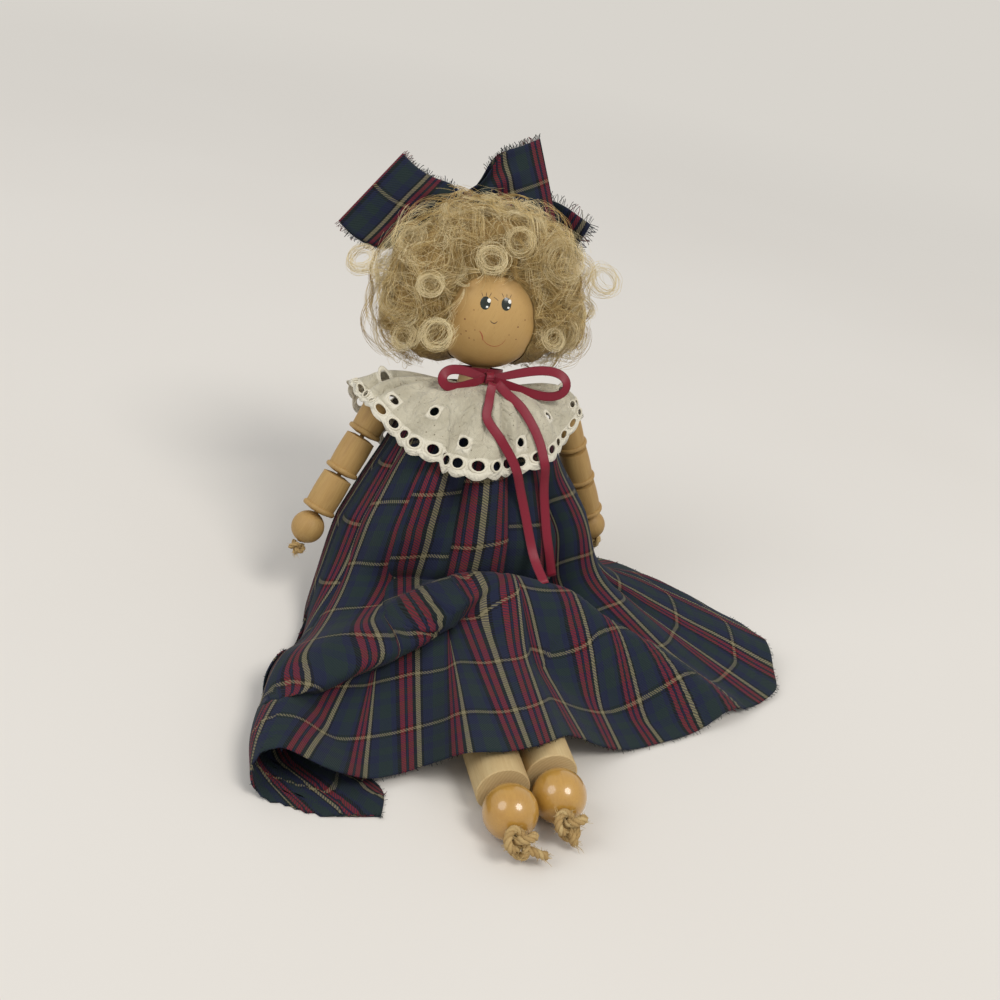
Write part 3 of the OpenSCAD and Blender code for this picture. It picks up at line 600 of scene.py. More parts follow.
def fuzz(rng, line, count, long, spread):
    """Loose fibres that leave a line of twine."""
    ahead, side, lift = frames_along(line)
    out = []
    for _ in range(count):
        i = rng.integers(1, len(line) - 1)
        turn = rng.uniform(0, 2 * math.pi)
        away = math.cos(turn) * side[i] + math.sin(turn) * lift[i]
        heading = unit(ahead[i] * rng.choice([-1, 1]) * rng.uniform(0.4, 1.2) + away * rng.uniform(0.4, 1.1))
        bend = unit(rng.normal(size=3)) * rng.uniform(0.1, 0.5)
        t = np.linspace(0, 1, 6)[:, None]
        out.append(line[i] + away * spread + (heading * t + bend * t * t) * rng.uniform(0.4, 1.0) * long)
    return out


print("the plies turn once in", 1 / TURNS_PER_MM, "mm")

# %% A knot of twine
FIBRES_PER_MM, END_FIBRES = 2.2, 26


def knot_line(size):
    """The line of an overhand knot round the Z axis, in millimetres."""
    t = np.linspace(0, 2 * math.pi, 150)
    return size * np.stack([np.sin(t) + 2 * np.sin(2 * t), np.cos(t) - 2 * np.cos(2 * t), -1.25 * np.sin(3 * t)], 1)


def knot(name, node, body, size, twine, axis, seed, ends):
    """A knot of three-ply twine where the CAD knot is, with frayed ends given as lines from its middle."""
    rng = np.random.default_rng(seed)
    low, high = (np.array(c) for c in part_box(node))
    turn = np.array(Vector((0, 0, 1)).rotation_difference(Vector(axis)).to_matrix())
    lines = [knot_line(size)] + [smooth_line(end, 24) for end in ends]
    paths, tapers, tints = [], [], []
    for line in lines:
        for ply in plies(line, twine):
            paths.append(ply)
            tapers.append(np.ones(len(ply)))
            tints.append(rng.uniform(0.35, 0.75))
    fibres = []
    for line in lines:
        fibres += fuzz(rng, line, int(line_length(line) * FIBRES_PER_MM), twine * 0.9, twine * 0.45)
    for end in lines[1:]:
        heading = unit(end[-1] - end[-5])
        for _ in range(END_FIBRES):
            t = np.linspace(0, 1, 7)[:, None]
            spray = unit(heading + rng.normal(size=3) * 0.45)
            start = end[-3] + rng.normal(size=3) * twine * 0.2
            fibres.append(start + (spray * t + rng.normal(size=3) * 0.25 * t * t) * twine * rng.uniform(0.5, 1.3))
    for fibre in fibres:
        paths.append(fibre)
        tapers.append(np.linspace(0.14, 0.05, len(fibre)))
        tints.append(rng.uniform(0.5, 1.0))
    middle = (low + high) / 2
    paths = [np.maximum(middle + (p @ turn.T) * MM, [-9, -9, MM]) for p in paths]
    piece = tubes(name, paths, twine * 0.6, 6, jute, tapers, tints)
    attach(piece, body)
    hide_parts(node)


print(f"the line of a knot is {line_length(knot_line(1.0)):.0f} times its size")

# %% Tie the knots
FOOT_TWINE, HAND_TWINE = 2.9, 1.9
knot("left_foot_jute_knot", "left_foot_knot", "lap", 1.8, FOOT_TWINE, (0, -1, 0), 11,
     [[(1.5, -1.5, 1.0), (4.5, -2.0, 2.4), (7.6, -3.4, 2.6), (10.0, -4.6, 2.0)]])
knot("right_foot_jute_knot", "right_foot_knot", "lap", 1.8, FOOT_TWINE, (0, -1, 0), 12,
     [[(0, -1, 1.0), (1.0, -2.5, 2.6), (1.4, -4.4, 3.2), (2.4, -5.8, 2.6)]])
for seed, (side, along) in enumerate(ARM_ALONG.items()):
    knot(f"{side}_hand_jute_knot", f"{side}_hand_knot", f"{side}_hand", 0.98, HAND_TWINE, along, 20 + seed,
         [[(0, 0, 0.5), (0.5, -0.4, 1.8), (1.4, -1.0, 2.6)]])
twine_nodes = [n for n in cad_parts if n.endswith("_twine")]
finish_nodes(jute, *twine_nodes)
print("knots tied;", len(twine_nodes), "inner twines finished")

# %% [markdown]
# ## Plaid cloth
# The dress and the hair bow are one cotton twill: a navy and bottle green check, with a pair of
# red stripes and a khaki stripe in the warp and a khaki line in the weft. A printed picture would
# do, but a woven check is two lists of stripes. One ramp gives the warp colour across the cloth,
# another the weft colour along it, and the diagonal steps of the twill choose which thread is on
# top. The coordinates are millimetres of flat cloth, from the UV map.

# %% The plaid group
NAVY, BOTTLE, INK = srgb(24, 31, 56), srgb(28, 43, 44), srgb(7, 8, 10)
RED, KHAKI = srgb(116, 32, 42), srgb(130, 121, 92)
WARP_MM, WEFT_MM, TWILL_MM = 22.5, 28.0, 1.15
plaid, plaid_in, plaid_out = new_group(
    "plaid_twill", [("Across", FLOAT, 0.0), ("Along", FLOAT, 0.0), ("Place", VECTOR, None)],
    [("Color", COLOUR), ("Height", FLOAT)],
)
warp_at = maths(plaid, "FRACT", maths(plaid, "DIVIDE", plaid_in["Across"], WARP_MM))
weft_at = maths(plaid, "FRACT", maths(plaid, "DIVIDE", plaid_in["Along"], WEFT_MM))
warp = ramp(plaid, warp_at, [
    (0.0, INK), (0.02, RED), (0.105, INK), (0.122, NAVY), (0.14, INK), (0.155, RED), (0.24, INK),
    (0.3, KHAKI), (0.38, INK), (0.425, NAVY), (0.52, NAVY), (0.60, BOTTLE), (0.78, BOTTLE),
    (0.86, NAVY), (0.95, INK),
], "CONSTANT")
weft = ramp(plaid, weft_at, [
    (0.0, INK), (0.04, KHAKI), (0.09, INK), (0.135, NAVY), (0.36, BOTTLE), (0.60, NAVY), (0.72, BOTTLE),
    (0.84, NAVY),
], "CONSTANT")
twill = maths(plaid, "ADD", plaid_in["Across"], plaid_in["Along"])
twill = maths(plaid, "SINE", maths(plaid, "MULTIPLY", twill, 2 * math.pi / TWILL_MM))
lint = noise(plaid, plaid_in["Place"], 900.0, 3.0, Roughness=0.7)
on_top = maths(plaid, "MULTIPLY_ADD", twill, 0.42, 0.38)
on_top = maths(plaid, "MULTIPLY_ADD", maths(plaid, "SUBTRACT", lint, 0.5), 0.5, on_top)
cloth_tone = blend_colour(plaid, on_top, warp, weft)
worn = noise(plaid, plaid_in["Place"], 60.0, 3.0)
worn = maths(plaid, "MULTIPLY_ADD", worn, 0.14, maths(plaid, "MULTIPLY", lint, 0.12))
cloth_tone = blend_colour(plaid, worn, cloth_tone, srgb(60, 60, 60))
plaid.links.new(cloth_tone, plaid_out.inputs["Color"])
ribs = maths(plaid, "MULTIPLY_ADD", lint, 0.8, maths(plaid, "MULTIPLY", twill, 0.5))
plaid.links.new(ribs, plaid_out.inputs["Height"])
print("plaid group with", len(plaid.nodes), "nodes")


# %% Plaid materials
def plaid_cloth(name, turned=False):
    """The plaid on a piece with a cloth UV map; turned swaps warp and weft."""
    material, tree, shader = new_material(
        name, Roughness=0.9, Specular_IOR_Level=0.15, Sheen_Weight=0.05, Sheen_Roughness=0.5
    )
    flat = cloth_place(tree)
    flat = add(tree, "ShaderNodeSeparateXYZ", None, Vector=flat).outputs
    place = object_place(tree)
    look = use_group(tree, plaid, Across=flat[1 if turned else 0], Along=flat[0 if turned else 1], Place=place)
    tree.links.new(look.outputs["Color"], shader.inputs["Base Color"])
    bump(tree, shader, look.outputs["Height"], 0.09)
    return material


dress_plaid = plaid_cloth("dress_plaid")
print("plaid woven")

# %% [markdown]
# ## The dress
# The real dress is one straight length of cloth, gathered at the neck and left raw at the hem. It
# falls down the body, doubles up in a roll over the lap, runs out over the legs and lies on the
# floor, where its left corner curls under. A cloth simulation would make folds, but not these
# folds, so the cloth is laid out: columns run from neck to hem, evenly spaced along the
# hem, and pleats, rolls and the curled corner are shaped in turn.

# %% The hem, all the way round
# Angle on the body, then x, y, z from the hips, as the hem lies before its left corner curls
HEM = [
    (0, 3, -118, 22.4), (7, 11, -114, 22), (12, 17, -109, 19.5), (17, 22, -106, 16.5), (22, 28, -104, 13),
    (28, 36, -101.5, 8), (34, 46.5, -98.5, 3.4), (40, 58, -95, 1.4), (51, 82, -87, 1.2), (60, 105, -76.5, 1.2),
    (66, 120, -69.5, 1.6), (71, 130.5, -63, 2.2), (73.5, 135.8, -58.5, 2.6), (75, 138, -54, 3.2),
    (80, 139.6, -44, 6.2), (85, 141, -34.5, 9.2), (86.4, 140.8, -31, 10), (88, 137.8, -27.5, 10.4),
    (91, 132.5, -20, 10), (97, 126, -8, 8), (106, 119, 8, 5.5), (118, 108, 29, 2.6), (132, 90, 47, 1),
    (152, 50, 55, 1), (183, 0.6, 54, 1), (215, -44, 40, 1),
    (237, -60, 12, 1), (261, -69, -18, 1), (277, -78, -40, 1), (286, -85, -58, 1), (289, -98, -68, 1),
    (292, -116, -80, 1), (295, -138, -93, 1), (297.5, -152, -106, 1), (299, -154, -119, 1), (300.5, -149, -132, 1),
    (302.5, -138, -129, 1), (305, -126, -124.5, 1), (308, -115, -120, 1), (311, -106, -116.5, 2),
    (314, -97, -113.5, 4), (317, -88, -112.5, 6), (320, -79, -116, 6), (323, -70, -118, 6), (326, -59, -116, 5),
    (329, -49, -113, 4), (332, -41, -111, 4.5), (335, -34.5, -112, 8.5), (338, -30, -115.5, 14),
    (342, -26, -119, 19.5), (347, -19, -121, 22.2), (353, -9, -121, 22.4), (360, 3, -118, 22.4),
]
HEM_COLS = 440
# Angles count little while the points are spaced along the hem
hem_line = smooth_line(np.array(HEM) * [0.02, 1, 1, 1], 2 * HEM_COLS + 1)
hem_line[:, 0] *= 50
hem_far = far_along(hem_line[:, 1:])
HEM_LONG = hem_far[-1]
col_at = np.linspace(0, HEM_LONG, HEM_COLS, endpoint=False)
hem = np.stack([np.interp(col_at, hem_far, hem_line[:, k]) for k in range(4)], axis=1)
# The gathers share the cloth out round the neck, so a column starts between its angle and its share
turn = 0.5 * hem[:, 0] + 0.5 * 360 * col_at / HEM_LONG
hem = hem[:, 1:]
print(f"hem {HEM_LONG:.0f} mm round")

# %% The bodice, gathered into pleats
PLEATS = 14
# Angle on the body, and how high above the hips the bodice goes over into the skirt there
LAP_HIGH = [(0, 9), (40, 10), (70, 17.5), (90, 15), (112, 10), (140, 9), (360, 9)]
share = 2 * math.pi * col_at / HEM_LONG
wave = PLEATS * share + 0.8 * np.sin(3 * share + 0.7) + 0.5 * np.sin(5 * share)
deep = 1 + 0.3 * np.sin(4.3 * 2 * math.pi * np.floor(wave / (2 * math.pi) + 0.5) / PLEATS * 3 + 1.0)
# Larger folds of the front: (x, height) along each, how far it rises, its half width
FRONT_FOLDS = [
    ([(-22, 64), (-28, 44), (-35, 27), (-42, 6)], 5.0, 10),
    ([(-9, 58), (-16, 37), (-23, 19), (-30, 2)], -5.0, 9),
    ([(-2, 60), (-5, 30), (-9, 6)], 3.5, 8),
    ([(29, 58), (31, 35), (38, 10)], -4.0, 8),
    ([(41, 54), (46, 32), (54, 10)], 4.0, 10),
]


def body_half(high):
    """Half the width of the dressed body at a height."""
    return np.interp(high, [9, 15, 32, 64, 81, 88.2, 91.4], [60, 60.5, 55.5, 38.5, 31, 26, 13.5])


def body_front(high):
    """How far the dressed body reaches in front of its axis."""
    return np.interp(high, [9, 15, 28, 64, 85, 88.2, 91.4], [22, 26, 29.5, 27.5, 24.2, 20, 13.5])


def body_back(high):
    """How far the dressed body reaches behind its axis."""
    return np.interp(high, [9, 15, 64, 85, 88.2, 91.4], [25, 24.6, 24.6, 24.2, 20, 13.5])


print(PLEATS, "pleats; half width at the waist", body_half(15.0), "mm")

# %% Shape the bodice
BODICE_ROWS = 36
RIM_HIGH, ARMHOLE_DEEP = 91.4, 15
down = np.linspace(0, 1, BODICE_ROWS)[:, None]
rim = RIM_HIGH - ARMHOLE_DEEP * np.sin(np.radians(turn)) ** 6
high = rim + (np.interp(turn, *zip(*LAP_HIGH)) - rim) * down
beside = np.abs(np.sin(np.radians(turn)))
amount = deep * (0.3 + 0.7 * soft_step(0, 0.45, down))
lean_over = np.radians(turn) + 1.45 / PLEATS * np.sin(wave) * amount
rise = 3.4 * np.cos(wave) * amount * (1 - 0.6 * beside**4)
for line, lift, wide in FRONT_FOLDS:
    line = np.array(line, float)
    middle = np.interp(high, line[::-1, 1], line[::-1, 0])
    on = hump(body_half(high) * np.sin(lean_over), middle, wide) * (np.cos(lean_over) > 0)
    rise = rise + lift * on * soft_step(line[0, 1] + 8, line[0, 1] - 14, high)
depth = np.where(np.cos(lean_over) > 0, body_front(high), body_back(high))
bodice = from_body((body_half(high) + rise) * np.sin(lean_over), (depth + rise) * np.cos(lean_over), high)
print("bodice", bodice.shape)

# %% Crest lines of the skirt
# Crest lines from left to right: x, y, height, reach behind, reach in front, overhang
FOLDS = {
    "lap": [
        (-38, -38, 27, 12, 8, 4), (-22, -33, 34, 13, 10, 6), (-8, -29, 37, 13, 18, 4), (7, -30, 39, 13, 36, 0),
        (19, -33.5, 39, 14, 38, 0), (36, -38.5, 37, 16, 38, 0), (47, -48.5, 33, 18, 34, 0), (60, -54, 28, 19, 30, 0),
        (73, -60, 23.5, 20, 26, 0), (89, -68, 16.5, 20, 20, 0), (103, -72, 9, 18, 14, 0), (114, -73, 3, 16, 10, 0),
    ],
    "corner": [
        (-90, -128, 17, 30, 40, 0), (-89.5, -114, 17, 30, 38, 0), (-88, -98, 18, 30, 26, 0),
        (-85, -84, 19, 28, 16, 0), (-83, -74, 20, 26, 12, 0),
    ],
    "left": [
        (-90, -77, 19, 22, 11, 8), (-83, -72, 20.5, 22, 11, 10), (-75, -66, 22.5, 20, 12, 11),
        (-58, -55, 25, 18, 12, 12), (-38, -44, 26.5, 13, 12, 12), (-19, -35.5, 28.5, 8, 12, 9),
        (0, -29.5, 31, 8, 12, 2),
    ],
    "right": [
        (60, 2, 25, 9, 22, 0), (74, 1, 24, 10, 24, 0), (89, -1, 22.5, 12, 26, 0), (106, -10, 18.5, 15, 28, 0),
        (120, -21, 14.5, 16, 24, 0), (140, -31, 9.5, 14, 18, 0),
    ],
}


def beside_line(spots, line):
    """Distance to a crest line, positive in front, with the line's values and outward direction there."""
    line = smooth_line(line, 90)
    gap = spots[..., None, :2] - line[:, :2]
    near = np.argmin((gap**2).sum(-1), axis=-1)
    ahead = unit(np.gradient(line[:, :2], axis=0))
    out = np.stack([ahead[:, 1], -ahead[:, 0]], 1)
    far = np.take_along_axis(gap, near[..., None, None], -2)[..., 0, :]
    side = np.sign((far * out[near]).sum(-1))
    return side * np.linalg.norm(far, axis=-1), line[near], out[near]


def crest_lift(height, far, at):
    """How far a spot beside a crest line is lifted towards it."""
    near = hump(far, 0, np.where(far > 0, at[..., 4], at[..., 3]))
    return np.maximum(at[..., 2] - height, 0) * near


print(len(FOLDS), "crest lines:", ", ".join(FOLDS))

# %% Lay the skirt over its crests
SKIRT_ROWS = 66
w = np.linspace(0, 1, SKIRT_ROWS + 1)[1:, None]
lap = bodice[-1][None]
skirt = lap + (hem[None] - lap) * w[..., None]
skirt[..., 2] = lap[..., 2] + (hem[None, :, 2] - lap[..., 2]) * w**0.8
fade = 1 - soft_step(0.15, 0.75, w)
skirt[..., 2] += 2.2 * np.cos(wave)[None] * fade * (deep[None] - 0.3)
for line in FOLDS.values():
    far, at, out = beside_line(skirt, line)
    if line is FOLDS["left"]:
        behind_left = soft_step(0, -7, far)
    skirt[..., 2] += crest_lift(skirt[..., 2], far, at)
    lip = soft_step(-3, 0.35 * at[..., 4], far) * soft_step(at[..., 4], 0.35 * at[..., 4], far)
    skirt[..., :2] += out * (at[..., 5] * lip)[..., None]
print(f"skirt up to {skirt[..., 2].max():.0f} mm above the floor")

# %% Roll the left edge under
# The line round which the left edge rolls under: x, y, height
LEFT_EDGE = [
    (-90, -128, 17), (-89.5, -114, 17), (-88, -98, 18), (-83, -78, 17), (-76, -56, 12), (-70, -34, 8),
    (-67, -10, 5), (-66, 14, 3),
]
# Clear height over the floor, rounds of easing, and the legs' place, radius and clear height
FLOOR_GAP, EASE_LEFT = 0.7, 24
LEG_X, LEG_R, LEG_GAP = 10.2, 10.8, 0.6


def ease_rows(grid):
    """A grid whose rows are drawn towards their neighbours, apart from the first and the last."""
    eased = grid.copy()
    eased[1:-1] = 0.5 * grid[1:-1] + 0.25 * (grid[:-2] + grid[2:])
    return eased


# Where the left fold runs into the roll, the roll is as high as the fold
edge = smooth_line(LEFT_EDGE, 90)
far, at, _ = beside_line(edge, FOLDS["left"])
edge[:, 2] += crest_lift(edge[:, 2], far, at)
# What lies beyond the line goes round it, then back along the floor
far, at, out = beside_line(skirt, edge)
beyond = np.maximum(-far, 0)
radius = (at[..., 2] - FLOOR_GAP) / 2
angle = np.minimum(beyond / radius, math.pi)
back = radius * np.sin(angle) - np.maximum(beyond - radius * math.pi, 0)
rolled = np.zeros_like(skirt)
rolled[..., :2] = at[..., :2] - out * back[..., None]
rolled[..., 2] = at[..., 2] - radius * (1 - np.cos(angle))
skirt = np.where((beyond > 0)[..., None], rolled, skirt)
# Cloth bends softly: the corners that the lines leave behind the left fold are eased
for _ in range(EASE_LEFT):
    eased = ease_rows(0.25 * (np.roll(skirt, 1, 1) + np.roll(skirt, -1, 1)) + 0.5 * skirt)
    left_back = behind_left * soft_step(-36, -56, skirt[..., 0]) * soft_step(-104, -90, skirt[..., 1])
    left_back = left_back * soft_step(0, 0.1, w) * soft_step(1, 0.9, w)
    skirt = skirt + (eased - skirt) * left_back[..., None]
# The cloth lies on the legs and on the floor, and goes through neither
beside_leg = np.maximum(np.abs(skirt[..., 0]) - LEG_X, 0)
over_leg = HIP_HIGH + np.sqrt(np.maximum(LEG_R**2 - beside_leg**2, 0)) + LEG_GAP
over_leg = np.where((beside_leg < LEG_R) & (skirt[..., 1] > -124), over_leg, 0) * soft_step(30, 12, skirt[..., 1])
skirt[..., 2] = np.maximum(np.maximum(skirt[..., 2], over_leg), FLOOR_GAP)
print("skirt", skirt.shape)

# %% Sew the dress
# Rounds of easing at the waist, and how many columns share their heights on each side
EASE_WAIST, NEIGHBOURS = 60, 40
# How far above the hem the check starts
CHECK_UP = 18.0
cloth = np.concatenate([bodice, skirt])
rows = len(cloth)
# Only the front doubles up over the lap: beside it the cloth runs on without a crease
at_side = soft_step(30, 70, np.abs((turn + 180) % 360 - 180))[:, None]
waist = hump(np.arange(rows), BODICE_ROWS, 14)[:, None, None]
for _ in range(EASE_WAIST):
    cloth = cloth + (ease_rows(cloth) - cloth) * waist * at_side
along = far_along(cloth)
from_hem = along[-1] - along
# The weft runs level across the pleats: each height is shared with its neighbours
nearby = np.arange(-NEIGHBOURS, NEIGHBOURS + 1)
soft = np.exp(-0.5 * (nearby / (0.35 * NEIGHBOURS)) ** 2)
from_hem = sum(k * np.roll(from_hem, i, axis=1) for i, k in zip(nearby, soft / soft.sum()))
flat_uv = np.stack([np.broadcast_to(col_at, from_hem.shape), from_hem - CHECK_UP], axis=-1)
dress = grid_piece("plaid_dress", cloth, dress_plaid, flat_uv, closed=True)


def close_seam(piece, long):
    """Give the corners of the faces at a seam the values of the cloth's far end."""
    layer = piece.data.uv_layers["cloth"]
    uv = np.zeros(len(layer.data) * 2, np.float32)
    layer.data.foreach_get("uv", uv)
    uv = uv.reshape(-1, 4, 2)
    seam = (uv[..., 0].max(1) - uv[..., 0].min(1)) > long / 2
    uv[seam, :, 0] = np.where(uv[seam, :, 0] < long / 2, uv[seam, :, 0] + long, uv[seam, :, 0])
    layer.data.foreach_set("uv", uv.ravel())


close_seam(dress, HEM_LONG)
thicken(dress, 0.5)

# %% [markdown]
# ## The lace collar
# The collar is a strip of eyelet lace, gathered at the neck, with a row of oval holes inside its
# scalloped edge and a few larger ones further up. Holes could be painted as transparency, but
# then they have no rim. Here the strip is divided into cells. A plain cell is a small grid, and a
# cell with an eyelet is a square bridged to an oval, so the holes are real and their edges clean.

# %% The shape of the collar
COLLAR_HIGH, COLLAR_NECK, COLLAR_ASIDE = 93.0, 13.5, -4.5
# From the neck to the edge: half width, share of the depth, fall in front and fall at the sides
COLLAR_T = [0, 0.2, 0.35, 0.5, 0.65, 0.82, 1]
COLLAR_HALF = [COLLAR_NECK, 23.5, 30.5, 37, 42.8, 47.6, 50.5]
COLLAR_DEEP = [0, 0.42, 0.64, 0.78, 0.88, 0.95, 1]
COLLAR_FALL = [0, 2.5, 6.5, 12, 19, 27.3, 35]
COLLAR_SIDE = [0, 0, 0.3, 1.2, 2.8, 5.6, 9]
RUFFLES, GATHERS = 11, 23


def collar_spot(s, t):
    """A point of the collar: s goes round it from the back, t from the neck to the edge."""
    a = 2 * math.pi * (np.asarray(s, float) + 0.5)
    # On the left the edge is turned up a little, with a step in it
    left = np.degrees(np.arctan2(np.sin(a), np.cos(a)))
    turned = soft_step(-19, -25, left) * soft_step(-88, -60, left)
    t = np.asarray(t, float) * (1 - 0.1 * turned)
    edge = 33 + 2 * np.cos(a)
    past = np.maximum(t - 1, 0)
    half = np.interp(t, COLLAR_T, COLLAR_HALF) + 53 * past * 0.4
    front = COLLAR_NECK + (edge - COLLAR_NECK) * (np.interp(t, COLLAR_T, COLLAR_DEEP) + past * 0.2)
    aside = np.abs(np.sin(a)) ** np.where(np.sin(a) > 0, 2.2, 4.0)
    down = np.interp(t, COLLAR_T, COLLAR_FALL) + 45 * past
    drop = down * (1 - aside) + (np.interp(t, COLLAR_T, COLLAR_SIDE) + 16 * past) * aside
    wave = RUFFLES * a + 0.9 * np.sin(2 * a + 0.4) + 0.6 * np.sin(3 * a + 2.0)
    swell = 3.4 * t**2 * (0.5 + 0.5 * np.cos(wave)) + 1.4 * turned * t**2
    gather = (1.0 + 0.7 * np.sin(4 * a + 1)) * np.sin(GATHERS * a + 2 * np.sin(5 * a))
    swell = swell + gather * np.clip(4 * t * (1 - t), 0, 1) ** 1.5
    a = a + 0.03 * t**1.5 * np.sin(wave)
    x = (half + swell * (1 - 0.55 * aside)) * np.sin(a) + COLLAR_ASIDE * t
    high = COLLAR_HIGH - drop + 1.6 * swell * aside - 0.3 * swell * (1 - aside)
    return from_body(x, (front + swell) * np.cos(a), high)


print("collar edge in front at", np.round(collar_spot(0.5, 1.0), 1))

# %% Cells, some with an eyelet
EYELETS, LACE_ROWS, SUB = 46, 6, 6
SCALLOP = 0.2


def has_eyelet(i, j):
    """Half width, half height and middle of the hole in a pierced cell, in cells, or None."""
    i = (i + EYELETS // 2) % EYELETS
    if j == LACE_ROWS - 1:
        return 0.37, 0.32, 0.42
    if j == LACE_ROWS - 2 and i % 6 == 2:
        return 0.36, 0.27, 0.35
    if j == LACE_ROWS - 3 and i % 6 == 5:
        return 0.4, 0.3, 0.5
    return None


lace_at, lace_faces, lace_index, lace_stitch = [], [], {}, []
eyelet_list = []


def lace_point(key, s, t, stitch):
    """The number of a point of the lace, which is made when it is first asked for."""
    if key not in lace_index:
        lace_index[key] = len(lace_at)
        lace_at.append((s, t))
        lace_stitch.append(stitch)
    return lace_index[key]


def cell_point(i, j, x, y, stitch=0.0):
    """A point on the border or grid of a cell; the last row bulges into scallops."""
    rise = 1 + SCALLOP * abs(math.sin(math.pi * x / SUB)) if j == LACE_ROWS - 1 else 1
    key = ((i * SUB + x) % (EYELETS * SUB), j * SUB + y)
    edge = 1.0 if j == LACE_ROWS - 1 and y >= SUB - 1 else stitch
    return lace_point(key, (i + x / SUB) / EYELETS, (j + y / SUB * rise) / LACE_ROWS, edge)


print(EYELETS, "cells round the collar, in", LACE_ROWS, "rows")

# %% Lay out the lace
for i in range(EYELETS):
    for j in range(LACE_ROWS):
        hole = has_eyelet(i, j)
        if hole is None:
            for x, y in np.ndindex(SUB, SUB):
                corners = ((x, y), (x + 1, y), (x + 1, y + 1), (x, y + 1))
                lace_faces.append([cell_point(i, j, *corner) for corner in corners])
            continue
        wide, tall, mid = hole
        side = list(range(SUB))
        border = [(x, 0) for x in side] + [(SUB, y) for y in side]
        border += [(SUB - x, SUB) for x in side] + [(0, SUB - y) for y in side]
        last = [cell_point(i, j, x, y, 0.6 if j == LACE_ROWS - 1 else 0.0) for x, y in border]
        for grow, stitch in ((1.3, 1.0), (1.0, 1.0)):
            ring = []
            for x, y in border:
                turn_at = math.atan2(y / SUB - mid, x / SUB - 0.5)
                s = (i + 0.5 + wide * grow * math.cos(turn_at)) / EYELETS
                t = (j + mid + tall * grow * math.sin(turn_at)) / LACE_ROWS
                ring.append(lace_point((i, j, grow, x, y), s, t, stitch))
            n = len(ring)
            lace_faces += [[last[k], last[(k + 1) % n], ring[(k + 1) % n], ring[k]] for k in range(n)]
            last = ring
        eyelet_list.append(((i + 0.5) / EYELETS, (j + mid) / LACE_ROWS, wide / EYELETS, tall / LACE_ROWS))
lace_at = np.array(lace_at)
print(len(eyelet_list), "eyelets in", len(lace_faces), "faces")

# %% Lace finish
lace, lace_tree, lace_shader = new_material("eyelet_lace", Roughness=0.85, Specular_IOR_Level=0.2, Sheen_Weight=0.2)
stitched = add(lace_tree, "ShaderNodeAttribute", {"attribute_name": "stitch"}).outputs["Fac"]
lace_flat = cloth_place(lace_tree)
weave = add(lace_tree, "ShaderNodeTexChecker", None, Vector=lace_flat, Scale=2.6).outputs[1]
thread = noise(lace_tree, lace_flat, 2.2, 3.0)
pin = add(
    lace_tree, "ShaderNodeTexVoronoi", {"feature": "F1"}, Vector=lace_flat, Scale=0.42, Randomness=0.8
).outputs[0]
pin = maths(lace_tree, "LESS_THAN", pin, 0.13)
pin = maths(lace_tree, "MULTIPLY", pin, maths(lace_tree, "LESS_THAN", stitched, 0.3))
sheer = maths(lace_tree, "MULTIPLY_ADD", thread, 0.5, maths(lace_tree, "MULTIPLY", weave, 0.25))
lace_tone = blend_colour(lace_tree, sheer, srgb(206, 200, 180), srgb(168, 159, 134))
lace_tone = blend_colour(lace_tree, maths(lace_tree, "MULTIPLY", stitched, 0.8), lace_tone, srgb(226, 220, 202))
lace_tone = blend_colour(lace_tree, maths(lace_tree, "MULTIPLY", pin, 0.8), lace_tone, srgb(88, 78, 60))
lace_thin = noise(lace_tree, lace_flat, 0.09, 2.0)
lace_thin = maths(lace_tree, "MULTIPLY_ADD", lace_thin, 1.6, -0.55)
lace_thin = maths(lace_tree, "MULTIPLY", maths(lace_tree, "SUBTRACT", 1.0, stitched), lace_thin)
lace_thin = maths(lace_tree, "MULTIPLY", maths(lace_tree, "MAXIMUM", lace_thin, 0.0), 0.75)
lace_tone = blend_colour(lace_tree, lace_thin, lace_tone, srgb(140, 132, 110))
lace_tree.links.new(lace_tone, lace_shader.inputs["Base Color"])
crumple = noise(lace_tree, lace_flat, 0.2, 3.0, Distortion=0.6)
raised = maths(lace_tree, "MULTIPLY_ADD", stitched, 0.6, maths(lace_tree, "MULTIPLY", thread, 0.6))
raised = maths(lace_tree, "MULTIPLY_ADD", crumple, 9.0, raised)
bump(lace_tree, lace_shader, raised, 0.3)
print("lace finish with", len(lace_tree.nodes), "nodes")

# %% Build the collar
collar_points = collar_spot(lace_at[:, 0], lace_at[:, 1])
LACE_LONG, LACE_WIDE = EYELETS * 7.6, 46.0
lace_uv = np.stack([lace_at[:, 0] * LACE_LONG, (1 - lace_at[:, 1]) * LACE_WIDE], 1)
collar = mesh_piece("eyelet_collar", in_frame(collar_points), [f[::-1] for f in lace_faces], lace, lace_uv)
close_seam(collar, LACE_LONG)
carry(collar.data, "stitch", lace_stitch)
thicken(collar, 0.45, 1.0)
# Where the collar lies over the right arm: two points on the body there
OVER_ARM = [tuple(in_frame(from_body(x, 0, 82.0))) for x in (31.0, 47.0)]
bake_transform(collar)
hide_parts("lace_collar")
print(f"collar: lace {LACE_LONG:.0f} by {LACE_WIDE:.0f} mm")

# %% [markdown]
# Every eyelet has a thick overcast edge. It is the same little ring each time, laid on the cloth
# at a different place and slant, which is just what Geometry Nodes' Instance on Points does: the
# script gives one point to each eyelet, with the directions of the cloth there.

